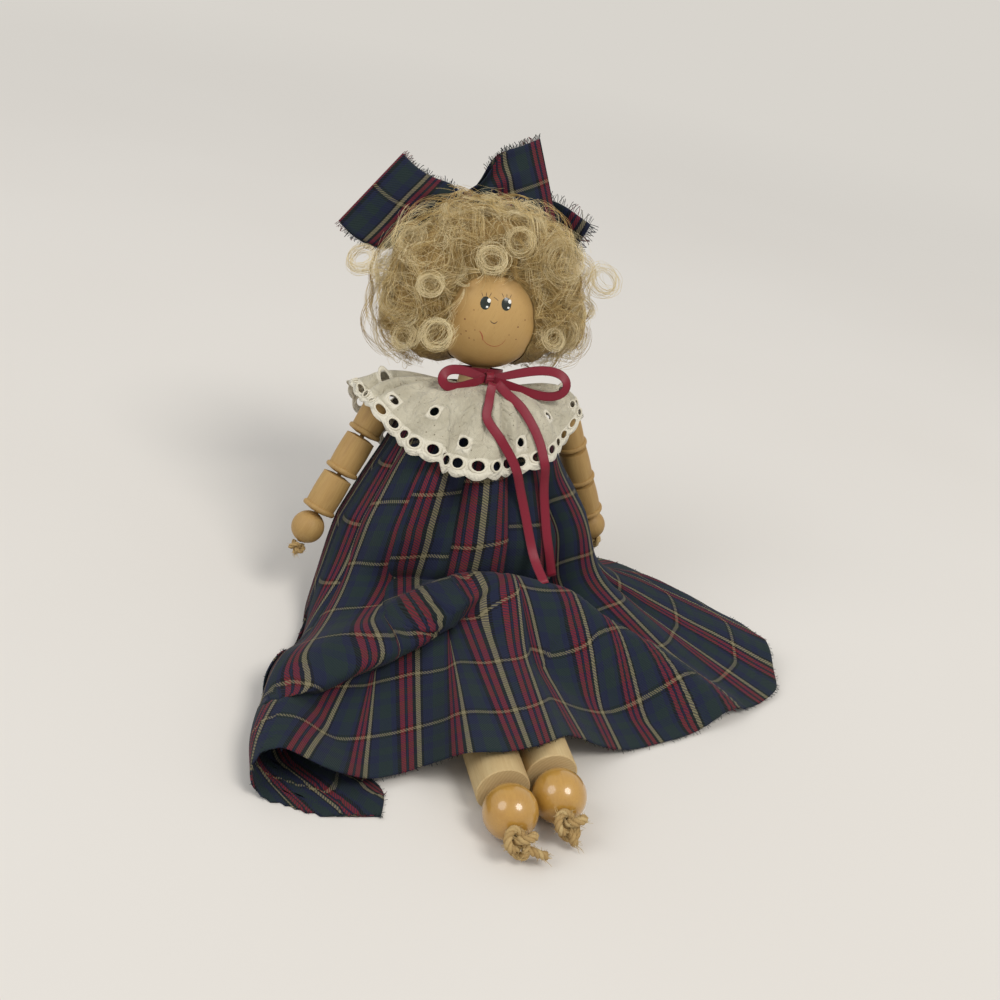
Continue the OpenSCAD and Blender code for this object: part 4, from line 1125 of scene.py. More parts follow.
# %% Overcast rings on the eyelets
def ring_tree():
    """A small ring at every point, turned to the cloth and stretched to the hole."""
    tree, given = new_tree("overcast_rings", "Eyelets", "Rings", [("Cord", FLOAT), ("Finish", FINISH)])
    line, section = circle(tree, 14, 1.0), circle(tree, 5, given["Cord"])
    ring = add(tree, "GeometryNodeCurveToMesh", None, i0=line, i1=section).outputs[0]
    ring = add(tree, "GeometryNodeSetShadeSmooth", None, i0=ring).outputs[0]
    normal, across, size = (carried(tree, "FLOAT_VECTOR", key) for key in ("normal", "across", "size"))
    face = add(tree, "FunctionNodeAlignRotationToVector", {"axis": "Z"}, Vector=normal).outputs[0]
    face = add(
        tree, "FunctionNodeAlignRotationToVector", {"axis": "X", "pivot_axis": "Z"}, Rotation=face, Vector=across
    ).outputs[0]
    laid = add(
        tree, "GeometryNodeInstanceOnPoints", None,
        Points=given["Eyelets"], Instance=ring, Rotation=face, Scale=size,
    ).outputs[0]
    return end_tree(tree, laid, given["Finish"])


RINGS = ring_tree()
print("ring tree with", len(RINGS.nodes), "nodes")

# %% Lay the rings
# Size of a ring over its hole, its height, and how far it stands off the cloth
RING_OVER, RING_TALL, RING_UP = 1.06, 2.4, 0.25
eyes = np.array(eyelet_list)
step = 0.25
middle = collar_spot(eyes[:, 0], eyes[:, 1])
across = (collar_spot(eyes[:, 0] + eyes[:, 2] * step, eyes[:, 1]) - middle) / step
outward = (collar_spot(eyes[:, 0], eyes[:, 1] + eyes[:, 3] * step) - middle) / step
normal = unit(np.cross(outward, across))
ring_mesh = bpy.data.meshes.new("eyelet_points")
ring_mesh.from_pydata((in_frame(middle) + normal * RING_UP * MM).tolist(), [], [])
wide, long = (np.linalg.norm(v, axis=1) * RING_OVER for v in (across, outward))
size = np.stack([wide, long, np.full(len(eyes), RING_TALL)], 1) * MM
for key, values in (("normal", normal), ("across", unit(across)), ("size", size)):
    carry(ring_mesh, key, values)

overcast, overcast_tree, overcast_shader = new_material("overcast_thread", Roughness=0.8, Specular_IOR_Level=0.2)
overcast_place = object_place(overcast_tree)
overcast_noise = noise(overcast_tree, overcast_place, 2600.0, 2.0)
overcast_tone = blend_colour(overcast_tree, overcast_noise, srgb(230, 224, 206), srgb(200, 192, 170))
overcast_tree.links.new(overcast_tone, overcast_shader.inputs["Base Color"])
bump(overcast_tree, overcast_shader, overcast_noise, 0.2)
rings_piece = grown("collar_overcast_rings", RINGS, ring_mesh, {"Cord": 0.22, "Finish": overcast})
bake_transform(rings_piece)
print(len(eyes), "overcast rings")

# %% [markdown]
# ## Satin ribbon
# A narrow woven ribbon is tied round the neck: a band, a knot, two loops and two tails. Satin
# shines in streaks along its threads, so its bump runs along the ribbon, and its selvedges are a
# row of tiny loops. Each part is a strip swept along a line. The loops flare a little, as a real
# bow does, which shows their face, and the tails lie on whatever they meet: a ray is cast on to
# the collar and the dress for each of their points.

# %% Satin finish
satin, satin_tree, satin_shader = new_material(
    "burgundy_satin", Roughness=0.42, Specular_IOR_Level=0.3, Anisotropic=0.4, Sheen_Weight=0.1
)
satin_flat = cloth_place(satin_tree)
satin_part = add(satin_tree, "ShaderNodeSeparateXYZ", None, Vector=satin_flat).outputs
satin_thread = mapped(satin_tree, satin_flat, Scale=(7.0, 0.9, 1))
satin_thread = noise(satin_tree, satin_thread, 1.0, 3.0)
selvedge = maths(satin_tree, "GREATER_THAN", maths(satin_tree, "ABSOLUTE", satin_part[0]), 1.62)
loops = maths(satin_tree, "SINE", maths(satin_tree, "MULTIPLY", satin_part[1], 2 * math.pi / 0.55))
loops = maths(satin_tree, "MULTIPLY", selvedge, maths(satin_tree, "MULTIPLY_ADD", loops, 0.35, 0.4))
satin_tone = blend_colour(satin_tree, satin_thread, srgb(136, 24, 46), srgb(106, 15, 35))
satin_tone = blend_colour(satin_tree, loops, satin_tone, srgb(78, 9, 24))
satin_tree.links.new(satin_tone, satin_shader.inputs["Base Color"])
bump(satin_tree, satin_shader, maths(satin_tree, "ADD", satin_thread, loops), 0.05)
print("satin finish with", len(satin_tree.nodes), "nodes")

# %% Strips of ribbon
# Places across a ribbon, with a narrow selvedge at each edge
ACROSS = np.concatenate([[-0.5], np.linspace(-0.487, 0.487, 7), [0.5]])


def strip(name, line, across, material, wide, cup=0.0, thick=0.2):
    """A ribbon along a line in millimetres; across gives its width direction at each point."""
    line, across = np.asarray(line, float), unit(across)
    face = unit(np.cross(np.gradient(line, axis=0), across))
    width = ACROSS[None] * np.broadcast_to(wide, len(line))[:, None]
    points = line[:, None] + across[:, None] * width[..., None]
    points = points + face[:, None] * (cup * (4 * ACROSS**2 - 1 / 3))[None, :, None]
    uv = np.stack([width, np.broadcast_to(far_along(line)[:, None], width.shape)], -1)
    piece = grid_piece(name, points, material, uv)
    thicken(piece, thick, 0.0)
    return piece


print("a ribbon has", len(ACROSS), "points across")

# %% Band, knot and loops
RIBBON_W = 4.0
NECK_R, NECK_HIGH = 9.7, 98.4
BOW_AT = np.array([0.0, 12.9, 96.3])
round_neck = np.linspace(0, 2 * math.pi, 73)
band = strip(
    "ribbon_neck_band", from_body(NECK_R * np.sin(round_neck), NECK_R * np.cos(round_neck), NECK_HIGH),
    np.tile(BODY_UP, (len(round_neck), 1)), satin, 3.4,
)


def bow_loop(name, side, reach, tall, flare, droop):
    """A loop of the bow that leaves the knot below and comes back above."""
    a = np.radians(np.linspace(-168, 168, 49))
    x = side * (1.2 + reach * (1 + np.cos(a)) / 2)
    up = tall / 2 * np.sin(a) * (0.55 + 0.45 * np.cos(a)) + droop * (1 + np.cos(a)) / 2
    front = reach * 0.14 * (1 + np.cos(a)) + 1.0 - 0.8 * np.sin(a)
    line = from_body(BOW_AT[0] + x, BOW_AT[1] + front, BOW_AT[2] + up)
    # The width lies square to the loop in its own plane, and leans a little to the front
    spread = -side * unit(np.cross(np.gradient(line, axis=0), BODY_FRONT))
    across = spread * math.cos(flare) + BODY_FRONT * math.sin(flare)
    narrow = 1 - 0.35 * np.abs(np.sin(a / 2)) ** 8
    return strip(name, line, across, satin, RIBBON_W * narrow)


left_bow = bow_loop("ribbon_bow_left_loop", -1, 20.5, 11.0, math.radians(10), -1.5)
right_bow = bow_loop("ribbon_bow_right_loop", 1, 31.0, 16.0, math.radians(12), 0.5)

# The knot: a short wrap of ribbon round the crossing
wrap = np.linspace(0, 2 * math.pi, 41)
knot_wrap = strip(
    "ribbon_bow_knot",
    from_body(0.25 * np.sin(2 * wrap), BOW_AT[1] + 0.9 + 2.0 * np.cos(wrap), BOW_AT[2] + 2.35 * np.sin(wrap)),
    np.tile([1.0, 0, 0.12], (len(wrap), 1)), satin, 3.0 + 0.5 * np.cos(wrap) ** 2, cup=-0.35, thick=0.5,
)
for piece, node in (
    (band, "neck_ribbon"), (left_bow, "ribbon_left_loop"), (right_bow, "ribbon_right_loop"),
    (knot_wrap, "ribbon_knot"),
):
    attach(piece, "torso")
    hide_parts(node)
print("ribbon bow tied")

# %% Tails that lie on the collar and the dress
bpy.context.view_layer.update()
dressed = bpy.context.evaluated_depsgraph_get()
under_tails = [BVHTree.FromObject(piece, dressed) for piece in (dress, collar)]
CAST_FROM, ON_BODY = 90.0, 20.0
TAIL_STEPS, TAIL_LEAD, SPAN_ROUNDS = 61, 6, 14


def lie_on(x, high, clear):
    """How far in front of the body axis the collar or dress lies at a spot."""
    found = []
    for tree in under_tails:
        start = in_frame(from_body(x, CAST_FROM, high))
        hit, _, _, far = tree.ray_cast(Vector(start), Vector(-BODY_FRONT))
        if hit is not None:
            found.append(CAST_FROM - far / MM)
    return max(found, default=ON_BODY) + clear


def ribbon_tail(name, spots, clear):
    """A tail through (x, height) spots, laid on what is under it."""
    flat = smooth_line(spots, TAIL_STEPS)
    edge = RIBBON_W / 2
    front = np.array([max(lie_on(x + k * edge, h, clear) for k in (-1, -0.5, 0, 0.5, 1)) for x, h in flat])
    front[:TAIL_LEAD] = np.linspace(BOW_AT[1] + 2.4, front[TAIL_LEAD], TAIL_LEAD)
    # Ribbon spans dips instead of dropping into them
    for _ in range(SPAN_ROUNDS):
        front = np.maximum(front, np.convolve(np.pad(front, 2, "edge"), [0.2] * 5, "valid"))
    front = np.convolve(np.pad(front, 2, "edge"), [0.1, 0.2, 0.4, 0.2, 0.1], "valid")
    line = from_body(flat[:, 0], front, flat[:, 1])
    ahead = np.gradient(line, axis=0)
    across = np.cross(ahead, np.tile(BODY_FRONT, (len(line), 1)))
    piece = strip(name, line, across, satin, RIBBON_W, cup=0.15)
    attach(piece, "torso")
    return piece, in_frame(line)


left_tail, left_line = ribbon_tail(
    "ribbon_left_tail_strip",
    [(-1.2, 95), (-3.6, 86.5), (-4.4, 80.5), (1.6, 72.5), (8.3, 63), (14.7, 48.5), (19.8, 32.5), (22.4, 23),
     (24.8, 15)], 0.9,
)
right_tail, right_line = ribbon_tail(
    "ribbon_right_tail_strip",
    [(1.2, 95), (5.5, 91), (12.3, 85.0), (18.9, 74), (22.4, 62), (25.0, 49), (28.0, 33), (30.8, 23.5),
     (33.4, 15)], 1.2,
)
for tail, line, node in ((left_tail, left_line, "ribbon_left_tail"), (right_tail, right_line, "ribbon_right_tail")):
    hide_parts(node)
    long = line_length(line)
    print(f"{tail.name}: {long * 1000:.0f} mm")

# %% [markdown]
# ## The hair bow
# A strip of the dress cloth with raw edges is tied behind the crown: two folded loops, a knot and
# one loose tail. Each loop leaves the knot pinched, opens out to its fold and comes back behind.
# The loose threads along the raw edges are one short thread repeated along a line, so they are
# instanced by Geometry Nodes, with a seed that turns and stretches each one a little.

# %% Fringe along an edge
def fringe_tree():
    """A thin thread at every point, along the direction that the point carries."""
    values = [("Long", FLOAT), ("Thick", FLOAT), ("Seed", WHOLE), ("Finish", FINISH)]
    tree, given = new_tree("frayed_edge", "Edge", "Threads", values)
    bend = add(
        tree, "GeometryNodeCurvePrimitiveBezierSegment", None, Resolution=4, Start=(0, 0, 0),
        Start_Handle=(0.05, 0, 0.35), End_Handle=(0.1, 0.05, 0.7), End=(0.3, 0.1, 0.95),
    ).outputs[0]
    section = circle(tree, 3, given["Thick"])
    thread = add(tree, "GeometryNodeCurveToMesh", None, i0=bend, i1=section).outputs[0]
    out = carried(tree, "FLOAT_VECTOR", "out")
    aim = add(tree, "FunctionNodeAlignRotationToVector", {"axis": "Z"}, Vector=out).outputs[0]
    stray = add(
        tree, "FunctionNodeRandomValue", {"data_type": "FLOAT_VECTOR"},
        i0=(-0.5, -0.5, -3.1), i1=(0.5, 0.5, 3.1), Seed=given["Seed"],
    ).outputs[0]
    stray = add(tree, "FunctionNodeEulerToRotation", None, i0=stray).outputs[0]
    aim = add(tree, "FunctionNodeRotateRotation", {"rotation_space": "LOCAL"}, i0=aim, i1=stray).outputs[0]
    scale = add(
        tree, "FunctionNodeRandomValue", {"data_type": "FLOAT"}, i2=0.35, i3=1.0, Seed=given["Seed"]
    ).outputs[1]
    scale = maths(tree, "MULTIPLY", scale, given["Long"])
    laid = add(
        tree, "GeometryNodeInstanceOnPoints", None,
        Points=given["Edge"], Instance=thread, Rotation=aim, Scale=scale,
    ).outputs[0]
    return end_tree(tree, laid, given["Finish"])


FRINGE = fringe_tree()
thread_finish, thread_tree, thread_shader = new_material("loose_threads", Roughness=0.9, Specular_IOR_Level=0.2)
thread_at = add(thread_tree, "ShaderNodeAttribute", {"attribute_name": "stripe"}).outputs["Fac"]
thread_place = object_place(thread_tree)
thread_look = use_group(thread_tree, plaid, Across=thread_at, Along=12.0, Place=thread_place)
thread_tree.links.new(thread_look.outputs["Color"], thread_shader.inputs["Base Color"])


def fringe(name, spots, out, stripe, long, thick, seed):
    """Loose threads at spots in millimetres, in the colours of the stripes that they come from."""
    mesh = bpy.data.meshes.new("edge")
    mesh.from_pydata(in_frame(spots).tolist(), [], [])
    carry(mesh, "out", out)
    carry(mesh, "stripe", stripe)
    values = {"Long": long * MM, "Thick": thick / long, "Seed": seed, "Finish": thread_finish}
    return grown(name, FRINGE, mesh, values)


print("fringe tree with", len(FRINGE.nodes), "nodes")

# %% The hem of the dress
HEM_THREADS = 900
rng = np.random.default_rng(5)
pick = np.sort(rng.uniform(0, HEM_COLS, HEM_THREADS))
lower, upper = cloth[-1], cloth[-3]
at = np.floor(pick).astype(int) % HEM_COLS
part = (pick % 1)[:, None]
hem_spot = lower[at] * (1 - part) + lower[(at + 1) % HEM_COLS] * part
hem_out = unit(lower - upper)[at] + [0, 0, 0.4]
hem_fringe = fringe("dress_hem_threads", hem_spot, hem_out, pick * HEM_LONG / HEM_COLS, 1.7, 0.11, 3)
tuple(in_frame(from_body(0, 0, 12.0)))
tuple(in_frame(from_body(0, 0, 40.0)))
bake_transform(hem_fringe)
tuple(in_frame(from_body(0, 0, 12.0)))
tuple(in_frame(from_body(0, 0, 40.0)))
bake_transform(dress)
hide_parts("dress_skirt", "dress_bodice")
print(HEM_THREADS, "loose threads along the hem")

# %% Loops of the hair bow
bow_plaid = plaid_cloth("bow_plaid", turned=True)
# Width of the strip, its length over the straight way, and loose threads along an edge
BOW_W, BOW_SLACK, EDGE_THREADS = 40.0, 1.15, 120
# Knot behind the crown, from the head centre: x, in front, up
BOW_MID = np.array([-5.0, -21.0, 45.0])


def head_spot(p):
    """Points from the head centre (x, in front, up), as millimetres from the hips."""
    p = np.asarray(p, float)
    return from_body(p[..., 0], p[..., 1], HEAD_HIGH + p[..., 2])


def bow_side(name, fold, lean, bend, puff, phase, node, seed):
    """One loop: the middle of its outer fold, the direction of that fold, and how it bends to the knot."""
    steps, cols = 45, 25
    fold, lean = np.array(fold, float), unit(lean)
    t = np.linspace(0, 1, steps)[:, None]
    v = np.linspace(-0.5, 0.5, cols)[None]
    out = np.sin(math.pi * t) ** 0.8
    front = np.cos(math.pi * t)
    spread = 0.34 + 0.66 * soft_step(0.0, 0.55, out)
    base = BOW_MID + (fold - BOW_MID) * out[..., None] + np.array(bend) * (2 * out * (1 - out))[..., None]
    points = base + lean * (v * BOW_W * spread)[..., None]
    crease = np.cos(v * 2 * math.pi * 3 + phase) * (1 - soft_step(0.15, 0.85, out)) * 2.2
    swell = (1.6 + puff * np.sin(math.pi * np.clip(out, 0, 1)) + 1.2 * np.sin(v * 5 + phase) * out) * front
    points = points + np.array([0, 1.0, 0]) * (swell + crease * 0.7)[..., None]
    points = points + np.array([0, 0, 1.0]) * (0.8 * np.sin(9 * v + phase) * out * (1 - out) * 2)[..., None]
    far = np.linalg.norm(fold - BOW_MID) * BOW_SLACK * (1 - out) * np.sign(t - 0.5)
    uv = np.stack(np.broadcast_arrays(v * BOW_W, far + phase * 3), -1)
    spots = head_spot(points)
    piece = grid_piece(name, spots, bow_plaid, uv)
    thicken(piece, 0.45, 0.0)
    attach(piece, "head")
    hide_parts(node)
    edge_spots, edge_out, edge_stripe = [], [], []
    for col, inner in ((0, 2), (cols - 1, cols - 3)):
        line = smooth_line(spots[3:-3, col], EDGE_THREADS)
        edge_spots.append(line)
        edge_out.append(unit(line - smooth_line(spots[3:-3, inner], EDGE_THREADS)))
        edge_stripe.append(np.interp(np.linspace(0, 1, EDGE_THREADS), t[:, 0], uv[:, col, 1]))
    threads = fringe(
        name + "_threads", np.vstack(edge_spots), np.vstack(edge_out), np.concatenate(edge_stripe), 2.8, 0.17, seed
    )
    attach(threads, "head")
    return piece


bow_left = bow_side(
    "hair_bow_left", (-52.0, -17.0, 46.0), (24.4, 2.0, 31.3), (-6.0, 1.0, -17.0), 4.0, 0.4, "hair_bow_left_loop", 7
)
bow_right = bow_side(
    "hair_bow_right", (27.5, -17.0, 58.0), (-12.0, 0.0, 34.0), (0.0, 0.0, -3.0), 4.0, 2.0, "hair_bow_right_loop", 8
)
print("two loops,", len(bow_left.data.polygons), "faces each")

# %% Knot and tail of the hair bow
turns, cols = 36, 13
a = np.linspace(0, 2 * math.pi, turns)[:, None]
v = np.linspace(-0.5, 0.5, cols)[None]
wrap_r = 5.6 - 2.2 * (2 * v) ** 2 * 0.6 + 0.5 * np.cos(9 * v * math.pi + a)
knot_points = BOW_MID + np.stack([v * 11 + 0 * a, wrap_r * np.cos(a), wrap_r * np.sin(a)], -1)
knot_uv = np.stack(np.broadcast_arrays(a * 5.6, v * 14 + 9), -1)
bow_knot = grid_piece("hair_bow_knot_wrap", head_spot(knot_points), bow_plaid, knot_uv)
thicken(bow_knot, 0.5, 0.0)
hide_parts("hair_bow_knot")

TAIL_ROWS, TAIL_COLS, TAIL_LONG = 30, 15, 56
t = np.linspace(0, 1, TAIL_ROWS)[:, None]
v = np.linspace(-0.5, 0.5, TAIL_COLS)[None]
tail_mid = smooth_line(BOW_MID + [(3, -3, -1), (18, -8, 2), (36, -8, -1), (54, -5, -10)], TAIL_ROWS)
tail_wide = 8 + 10 * soft_step(0, 0.8, t)
tail_points = tail_mid[:, None] + np.stack([0.32 * v * tail_wide, 2.0 * np.sin(v * 7 + 5 * t), v * tail_wide], -1)
tail_uv = np.stack(np.broadcast_arrays(v * tail_wide, t * TAIL_LONG), -1)
bow_tail = grid_piece("hair_bow_loose_tail", head_spot(tail_points), bow_plaid, tail_uv)
thicken(bow_tail, 0.45, 0.0)
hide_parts("hair_bow_tail")
tail_end = head_spot(smooth_line(tail_points[-1], 70))
tail_in = head_spot(smooth_line(tail_points[-4], 70))
sides = [head_spot(smooth_line(tail_points[8:, c], 60)) for c in (0, -1)]
inner = [head_spot(smooth_line(tail_points[8:, c], 60)) for c in (2, -3)]
tail_threads = fringe(
    "hair_bow_tail_threads", np.vstack([tail_end] + sides),
    np.vstack([unit(tail_end - tail_in)] + [unit(s - i) for s, i in zip(sides, inner)]),
    np.concatenate([np.linspace(0, 40, 70)] + [np.linspace(20, TAIL_LONG, 60)] * 2), 4.6, 0.17, 9,
)
for piece in (bow_knot, bow_tail, tail_threads):
    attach(piece, "head")
print("hair bow tied")

# %% [markdown]
# ## The painted face
# The face is a few dabs of paint on the ball: two shiny dark eyes with white lights, short
# lashes, a nose, a thin smile and freckles. They could be drawn in the wood's material, but paint
# has a thickness and an edge of its own. Each dab is a small domed patch that follows the ball,
# and each line a narrow strip.

# %% Dabs of paint
def paint(name, colour, second, rough):
    """A paint with slight streaks."""
    material, tree, shader = new_material(name, Roughness=rough)
    place = object_place(tree)
    streak = noise(tree, place, 900.0, 2.0)
    tree.links.new(blend_colour(tree, streak, colour, second), shader.inputs["Base Color"])
    bump(tree, shader, streak, 0.02)
    return material


def on_ball(p, lift):
    """Points near the head centre pushed out to the ball's surface, plus a lift."""
    return unit(p) * (HEAD_R + np.asarray(lift, float))[..., None]


def dab(at, half_w, half_h, lift=0.05, dome=0.12, rings=4, sides=20):
    """A domed oval patch on the ball: points and faces."""
    at = unit(np.array(at, float)) * HEAD_R
    right = unit(np.cross(at, [0, 0, 1.0]))
    up = unit(np.cross(right, at))
    points, faces = [on_ball(at, lift + dome)], []
    for r in range(1, rings + 1):
        share = r / rings
        for k in range(sides):
            a = 2 * math.pi * k / sides
            p = at + share * (half_w * math.cos(a) * right + half_h * math.sin(a) * up)
            points.append(on_ball(p, lift + dome * (1 - share**2) - (0.1 if r == rings else 0)))
    for k in range(sides):
        faces.append((0, 1 + k, 1 + (k + 1) % sides))
        for r in range(rings - 1):
            a, b = 1 + r * sides + k, 1 + r * sides + (k + 1) % sides
            faces.append((a, a + sides, b + sides, b))
    return np.array(points), faces


print("a dab has", len(dab((0, 1, 0), 1, 1)[1]), "faces")

# %% Strokes, and pieces of paint
STROKE_STEPS, STROKE_LIFT = 24, 0.05


def stroke(spots, wide):
    """A thin line of paint through spots on the ball, narrow at both ends."""
    line = on_ball(smooth_line(np.array(spots, float), STROKE_STEPS), np.full(STROKE_STEPS, STROKE_LIFT))
    ahead = np.gradient(line, axis=0)
    across = unit(np.cross(ahead, line))
    share = np.sin(np.linspace(0.15, math.pi - 0.15, STROKE_STEPS))[:, None] ** 0.6 * wide / 2
    sunk, crest = unit(line) * 0.08, unit(line) * 0.04
    points = np.stack([line - across * share - sunk, line + crest, line + across * share - sunk], 1)
    return points.reshape(-1, 3), grid_faces(STROKE_STEPS, 3).tolist()


def paint_piece(name, parts, material):
    """Several dabs and strokes as one piece on the head."""
    points, faces, count = [], [], 0
    for p, f in parts:
        points.append(head_spot(p))
        faces += [[i + count for i in face] for face in f]
        count += len(p)
    piece = mesh_piece(name, in_frame(np.vstack(points)), faces, material)
    middle = Vector(in_frame(head_spot(np.zeros(3))))
    inward = [face for face in piece.data.polygons if face.normal.dot(face.center - middle) < 0]
    for face in inward:
        face.flip()
    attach(piece, "head")


print("a stroke has", STROKE_STEPS, "steps")

# %% Paint the face
EYES = [(-7.8, 23.6, 2.4), (0.9, 24.8, 2.9)]
dark_eye = paint("dark_eye_paint", srgb(24, 28, 26), srgb(40, 50, 44), 0.18)
paint_piece("eye_paint", [dab(e, 2.35, 3.0) for e in EYES], dark_eye)
lights = [dab((-6.5, 24.0, 3.5), 0.8, 0.95, 0.16, 0.1), dab((2.2, 24.6, 4.0), 0.8, 0.95, 0.16, 0.1)]
lights += [dab((-7.1, 24.1, 0.9), 0.6, 0.5, 0.14, 0.08), dab((1.8, 24.8, 1.5), 0.6, 0.5, 0.14, 0.08)]
paint_piece("eye_lights", lights, paint("white_paint", srgb(244, 244, 238), srgb(228, 228, 222), 0.3))
lashes = []
for x, f, h in EYES:
    for k in (-1.4, 0.0, 1.4):
        lashes.append(stroke([(x + k, f, h + 2.6), (x + k * 1.25, f, h + 3.5), (x + k * 1.6, f, h + 4.5)], 0.3))
lashes.append(stroke([(-4.7, 24.1, 5.2), (-3.6, 24.3, 4.6), (-2.6, 24.6, 3.8)], 0.35))
nose_line = stroke([(-5.1, 24.0, -4.5), (-4.2, 24.2, -5.3), (-3.0, 24.3, -5.4), (-2.1, 24.6, -4.5)], 0.5)
paint_piece("lashes_and_nose", lashes + [nose_line], paint("brown_ink", srgb(52, 38, 28), srgb(84, 60, 42), 0.5))
smile = stroke(
    [(-6.8, 20.8, -12.2), (-4.2, 20.1, -14.2), (-1.0, 20.0, -14.9), (1.6, 20.8, -13.9), (3.2, 22.0, -11.4)], 0.4
)
hook = stroke([(-8.6, 21.8, -9.2), (-7.4, 21.4, -10.4), (-6.6, 20.9, -12.0), (-6.4, 20.6, -13.0)], 0.7)
paint_piece("smile", [smile, hook], paint("rust_ink", srgb(178, 92, 52), srgb(150, 84, 56), 0.5))
FRECKLES = [
    (-17.7, 17.4, -3.3), (-11.9, 22.0, -0.9), (-14.7, 19.6, -5.0), (-13.4, 18.6, -9.8), (-10.3, 20.9, -9.0),
    (-14.9, 16.6, -11.3), (-11.7, 18.2, -12.6), (-9.7, 18.9, -13.2), (7.5, 23.1, -5.9), (4.1, 22.7, -9.5),
    (7.9, 21.0, -11.1), (10.4, 22.6, -2.7),
]
freckle_size = np.random.default_rng(3).uniform(0.32, 0.62, len(FRECKLES))
paint_piece(
    "freckles", [dab(p, s, s * 0.9, 0.03, 0.03, rings=2, sides=10) for p, s in zip(FRECKLES, freckle_size)],
    paint("freckle_ink", srgb(112, 70, 38), srgb(140, 94, 56), 0.6),
)
print("face painted")

# %% [markdown]
# ## The hair
# The hair is mohair: fine, springy strands in soft waves and open rings. Blender's hair system
# would render well, but it isn't a mesh and can't be handed on. So a matted core fills the mop,
# coloured darker than the strands as painted shade deep in the mop, waved strands wander over it,
# ring curls stand off it and a few strands fly away. All of them are paths, and the tube tree from
# the knots turns them into thin tubes. The rings that show most are placed one by one and get a
# near-palest tint as painted highlight, and the rest are spread evenly.

# %% Where hair grows
FACE_TURN = math.radians(-8)
SCALP, MOP_DEEP = 25.5, 10.5


def hair_line(turn_round):
    """How far from the middle of the face the hair starts, in degrees, round from the top."""
    return np.interp(np.abs(turn_round), [0, 50, 95, 130, 160, 180], [34, 38, 44, 61, 112, 126])


def from_face(p):
    """Angle from the face, and the turn round it from the top of the head, in degrees."""
    p = unit(p)
    x = p[..., 0] * math.cos(FACE_TURN) - p[..., 1] * math.sin(FACE_TURN)
    y = p[..., 1] * math.cos(FACE_TURN) + p[..., 0] * math.sin(FACE_TURN)
    return np.degrees(np.arccos(np.clip(y, -1, 1))), np.degrees(np.arctan2(x, p[..., 2]))


def mop_radius(d):
    """How far the matted hair reaches from the head centre in each direction."""
    away, round_it = from_face(d)
    inside = soft_step(0, 30, away - hair_line(round_it))
    fuller = 5.5 * soft_step(0.1, 0.9, -d[..., 0]) + 4.0 * soft_step(0.2, 0.9, d[..., 2])
    return SCALP + inside * (MOP_DEEP + fuller - 7.0 * soft_step(0.15, 0.8, -d[..., 2]))


def even_directions(count):
    """Directions spread evenly over a ball, along a spiral from top to bottom."""
    k = np.arange(count) + 0.5
    up = 1 - 2 * k / count
    turn_round = math.pi * (1 + 5**0.5) * k
    flat = np.sqrt(1 - up**2)
    return np.stack([flat * np.cos(turn_round), flat * np.sin(turn_round), up], 1)


print("hair starts", hair_line(0), "degrees above the middle of the face")

# %% Waved locks
def waved(rng, starts, each, long, sway, turns, stand, lift, over, points):
    """Locks of strands that wander from their starts down the mop, as points from the head centre."""
    locks = len(starts)
    count = locks * each

    def some(low, high, vary):
        """One value for each lock, that its strands share more or less."""
        shared = np.repeat(rng.uniform(low, high, (locks, 1, 1)), each, axis=0)
        return shared + (high - low) * vary * rng.normal(size=(count, 1, 1))

    start = np.repeat(unit(starts + 0.05 * rng.normal(size=(locks, 3))), each, axis=0)
    start = unit(start + 0.018 * rng.normal(size=(count, 3)))
    heading = np.repeat([0, 0.15, -0.45] + 0.6 * rng.normal(size=(locks, 3)), each, axis=0)
    heading = heading + 0.07 * rng.normal(size=(count, 3))
    heading = unit(heading - start * (heading * start).sum(1, keepdims=True))
    span, wide = some(*long, 0.12), some(*sway, 0.1)
    t = np.linspace(0, 1, points)[None, :, None]
    turn_at = 2 * math.pi * (some(*turns, 0.05) * t + some(0, 1, 0.03))
    arc = t * span / (SCALP + MOP_DEEP)
    d = start[:, None] * np.cos(arc) + heading[:, None] * np.sin(arc)
    d = unit(d + np.cross(start, heading)[:, None] * wide / (SCALP + MOP_DEEP) * np.sin(turn_at))
    high = (wide * (0.5 + 0.5 * np.cos(turn_at)) + stand * t * span + some(*lift, 0.08))[..., 0]
    away, round_it = from_face(d)
    over_face = (hair_line(round_it) - away).max(1)
    low = np.where(away < 80, -0.5, -0.7)
    kept = (over_face < np.repeat(rng.uniform(-4, over, locks), each)) & (d[..., 2] > low).all(1)
    spots = d * (mop_radius(d) + 0.3 + np.maximum(high, 0))[..., None]
    return [spots[k:k + each][kept[k:k + each]] for k in range(0, count, each)]


print("locks follow a ball of", SCALP + MOP_DEEP, "mm radius")

